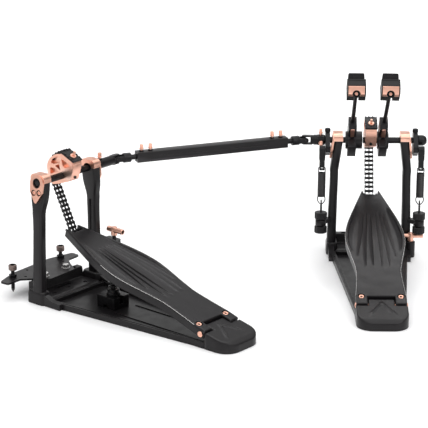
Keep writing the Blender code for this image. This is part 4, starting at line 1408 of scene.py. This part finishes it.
def show_beater(side_name):
    beater, rotor = side_name + "_beater", "main_rotor" if side_name == "right" else "left_rotor"
    holder = Matrix.Translation((BEATER_X[side_name], 0, 0)) @ BEATER_PLACE
    place = holder @ Matrix.Rotation(BEATER_LEAN[side_name], 4, "Y")

    def add(name, shape, slot, on=beater, bevel=0.0, nodes=()):
        show(f"{side_name}_{name}_look", shape, slot, on, place if on == beater else holder, bevel, nodes)

    add("holder", beater_holder(side_name), "satin_black", rotor, 0.6, [side_name + "_beater_holder"])
    add("holder_inlay", holder_inlay(), "satin_copper", rotor, 0.3)
    add("holder_screws", holder_screws(), "black_steel", rotor, 0.2)
    add("beater_rod", beater_rod(), "black_steel", bevel=0.3, nodes=[side_name + "_beater_rod"])
    add("beater_head", beater_head(), "black_plastic", bevel=0.4, nodes=[side_name + "_beater_head"])
    add("beater_cap", beater_cap(), "satin_copper", bevel=0.3, nodes=[side_name + "_beater_cap"])
    sleeve, screw = head_screw()
    add("beater_sleeve", sleeve, "black_steel", bevel=0.2)
    add("beater_screw", screw, "satin_copper", bevel=0.2)
    add("beater_felt", beater_felt(), "black_felt", bevel=0.9, nodes=[side_name + "_beater_felt"])


def show_side_spring(side_name):
    side = SIDES[side_name]
    rotor = "main_rotor" if side_name == "right" else "left_rotor"
    link = side_name + "_spring_link"

    def add(name, shape, slot, on="main_frame", bevel=0.0, nodes=(), look=None):
        show(f"{side_name}_{name}_look", shape, slot, on, MAIN, bevel, [f"{side_name}_{node}" for node in nodes], look)

    add("rocker", rocker(side), "black_steel", rotor, 0.5, ["rocker"])
    add("spring_hook", spring_hook(side), "black_steel", link, 0.5, ["spring_hook"])
    add("upper_loop", upper_ring(side), "black_steel", link)
    add("lower_loop", lower_ring(side), "black_steel")
    ends = [Vector((side * SPRING_X, SPRING_Y, AXLE_Z + z)) * MM for z in (-88, -48.5)]
    add("side_spring", side_spring(side), "spring_black", ("main_frame", link, *ends), nodes=["side_spring"])
    add("spring_eye", spring_eye(side), "black_steel", nodes=["spring_eye"])
    add("spring_adjuster", spring_adjuster(side), "knurled_black", side_name + "_adjuster", 0.2, ["spring_adjuster"])


def show_clamps():
    stem, head = t_bolt((*LUG, 8), 35, (1, 0, 0), 4.2, 3.6)
    show("main_t_bolt_stem", stem, "black_steel", "main_clamp_bolt", MAIN, 0.1)
    show("main_t_bolt_look", head, "satin_copper", "main_clamp_bolt", MAIN, 0.2, ["main_t_bolt"])
    lip, pad = hoop_lip()
    show("hoop_lip", lip, "satin_black", "main_frame", MAIN, 0.4)
    show("hoop_lip_pad", pad, "black_plastic", "main_frame", MAIN, 0.2)
    show("hoop_jaw_look", hoop_jaw(), "black_plastic", "hoop_jaw", MAIN, 0.6, ["main_hoop_jaw"])
    show("hoop_jaw_screws", jaw_screws(), "black_steel", "hoop_jaw", MAIN, 0.2)
    stem, head = t_bolt((78, -24, 62), 87, (0, 1, 0), -3, 4.3)
    show("slave_t_bolt_stem", stem, "black_steel", "slave_clamp_bolt", SLAVE, 0.1)
    show("slave_t_bolt_look", head, "satin_copper", "slave_clamp_bolt", SLAVE, 0.2, ["slave_t_bolt"])
    nodes = ["slave_stabiliser_plate"]
    show("stabiliser_plate_look", stabiliser_plate(), "satin_black", "slave_frame", SLAVE, 0.5, nodes)
    show("stabiliser_nuts", plate_nuts(), "black_steel", "slave_frame", SLAVE, 0.3)
    show("stabiliser_bolts", plate_bolts(), "black_steel", "slave_frame", SLAVE, 0.4, look="bright_steel")
    for name, side in SIDES.items():
        nodes = ["slave_spur_bolt_" + name]
        show(f"spur_stem_{name}", spur_stem(side), "black_steel", "spur_" + name, SLAVE, 0, nodes)
        show(f"spur_head_{name}", spur_head(side), "brown_bolt", "spur_" + name, SLAVE, 0.3)


# How far a key screw stands from its axle, and where the slave yoke's screw is
KEY_REACH, SLAVE_KEY_X = 7.2, 73


def show_drive():
    show("main_axle_cap", axle_cap(), "black_steel", "main_rotor", MAIN, 0.4)
    show("drive_socket_look", drive_socket(), "black_steel", "left_rotor", MAIN, 0.4, ["drive_socket"])
    show("drive_tube_look", drive_tube(), "satin_black", "drive_shaft", MAIN, 0.3, ["drive_tube"])
    show("tube_key_screws", tube_screws(key_screw), "satin_copper", "drive_shaft", MAIN, 0.25)
    show("tube_key_bases", tube_screws(key_screw_base), "black_steel", "drive_shaft", MAIN, 0.2)
    rod = inner_rod(MAIN_CROSS, SHAFT, 112)
    show("shaft_rod_main_look", rod, "black_steel", "drive_shaft", MAIN, 0.3, ["shaft_rod_main"])
    rod = inner_rod(SLAVE_CROSS, -SHAFT, 124)
    show("shaft_rod_slave_look", rod, "black_steel", "slave_shaft_rod", MAIN, 0.3, ["shaft_rod_slave"])
    places = [((-80.5, 0, AXLE_Z + KEY_REACH), (0, 0, 1)), ((-80.5, -KEY_REACH, AXLE_Z - 2.5), (0, -1, 0))]
    keys = together(*[moved(key_screw(), frame_along(*place)) for place in places])
    show("drive_socket_keys", keys, "satin_copper", "left_rotor", MAIN, 0.25)
    key = shifted(key_screw(), SLAVE_KEY_X, 0, AXLE_Z + KEY_REACH)
    show("slave_yoke_key", key, "satin_copper", "slave_rotor", SLAVE, 0.25)
    base = shifted(key_screw_base(), SLAVE_KEY_X, 0, AXLE_Z + KEY_REACH + 0.2)
    show("slave_yoke_key_base", base, "black_steel", "slave_rotor", SLAVE, 0.2)


# Floor and light

def add_floor():
    mesh = bpy.data.meshes.new("floor")
    mesh.from_pydata([(-6, -6, -0.0003), (6, -6, -0.0003), (6, 9, -0.0003), (-6, 9, -0.0003)], [], [(0, 1, 2, 3)])
    floor = bpy.data.objects.new("floor", mesh)
    bpy.context.scene.collection.objects.link(floor)
    mesh.materials.append(material("white_paper", (0.92, 0.92, 0.925), (400, 2, 0.995, 1.0)))


def add_light(name, place, target, size, power, spread=180, height=None):
    """A disc of light, or with a height a rectangle, aimed at a target."""
    data = bpy.data.lights.new(name, "AREA")
    data.shape = "RECTANGLE" if height else "DISK"
    data.size = size
    data.size_y = height or size
    data.energy = power
    data.spread = math.radians(spread)
    made = bpy.data.objects.new(name, data)
    made.location = place
    made.rotation_euler = (Vector(target) - Vector(place)).to_track_quat("-Z", "Y").to_euler()
    made.visible_camera = False
    bpy.context.scene.collection.objects.link(made)


def add_lights():
    world = bpy.data.worlds.new("studio")
    world.use_nodes = True
    world.node_tree.nodes["Background"].inputs["Color"].default_value = (1, 1, 1, 1)
    world.node_tree.nodes["Background"].inputs["Strength"].default_value = 0.3
    bpy.context.scene.world = world
    bpy.context.scene.view_settings.view_transform = "Standard"
    add_light("overhead", (-0.2, -1.5, 2.6), (-0.2, -1.5, 0), 7.0, 205)
    add_light("back_floor", (-0.2, 3.4, 2.4), (-0.2, 3.0, 0), 3.6, 60, 80)
    add_light("backdrop", (-0.2, 4.5, 1.25), (-0.2, 0, 1.25), 8.0, 32, height=1.9)
    add_light("fill", (1.6, -2.2, 1.6), (-0.25, -0.15, 0.1), 0.6, 14)


add_camera()
show_pedal("main")
show_pedal("slave")
for beater_side in SIDES:
    show_beater(beater_side)
    show_side_spring(beater_side)
show_clamps()
show_drive()
add_floor()
add_lights()
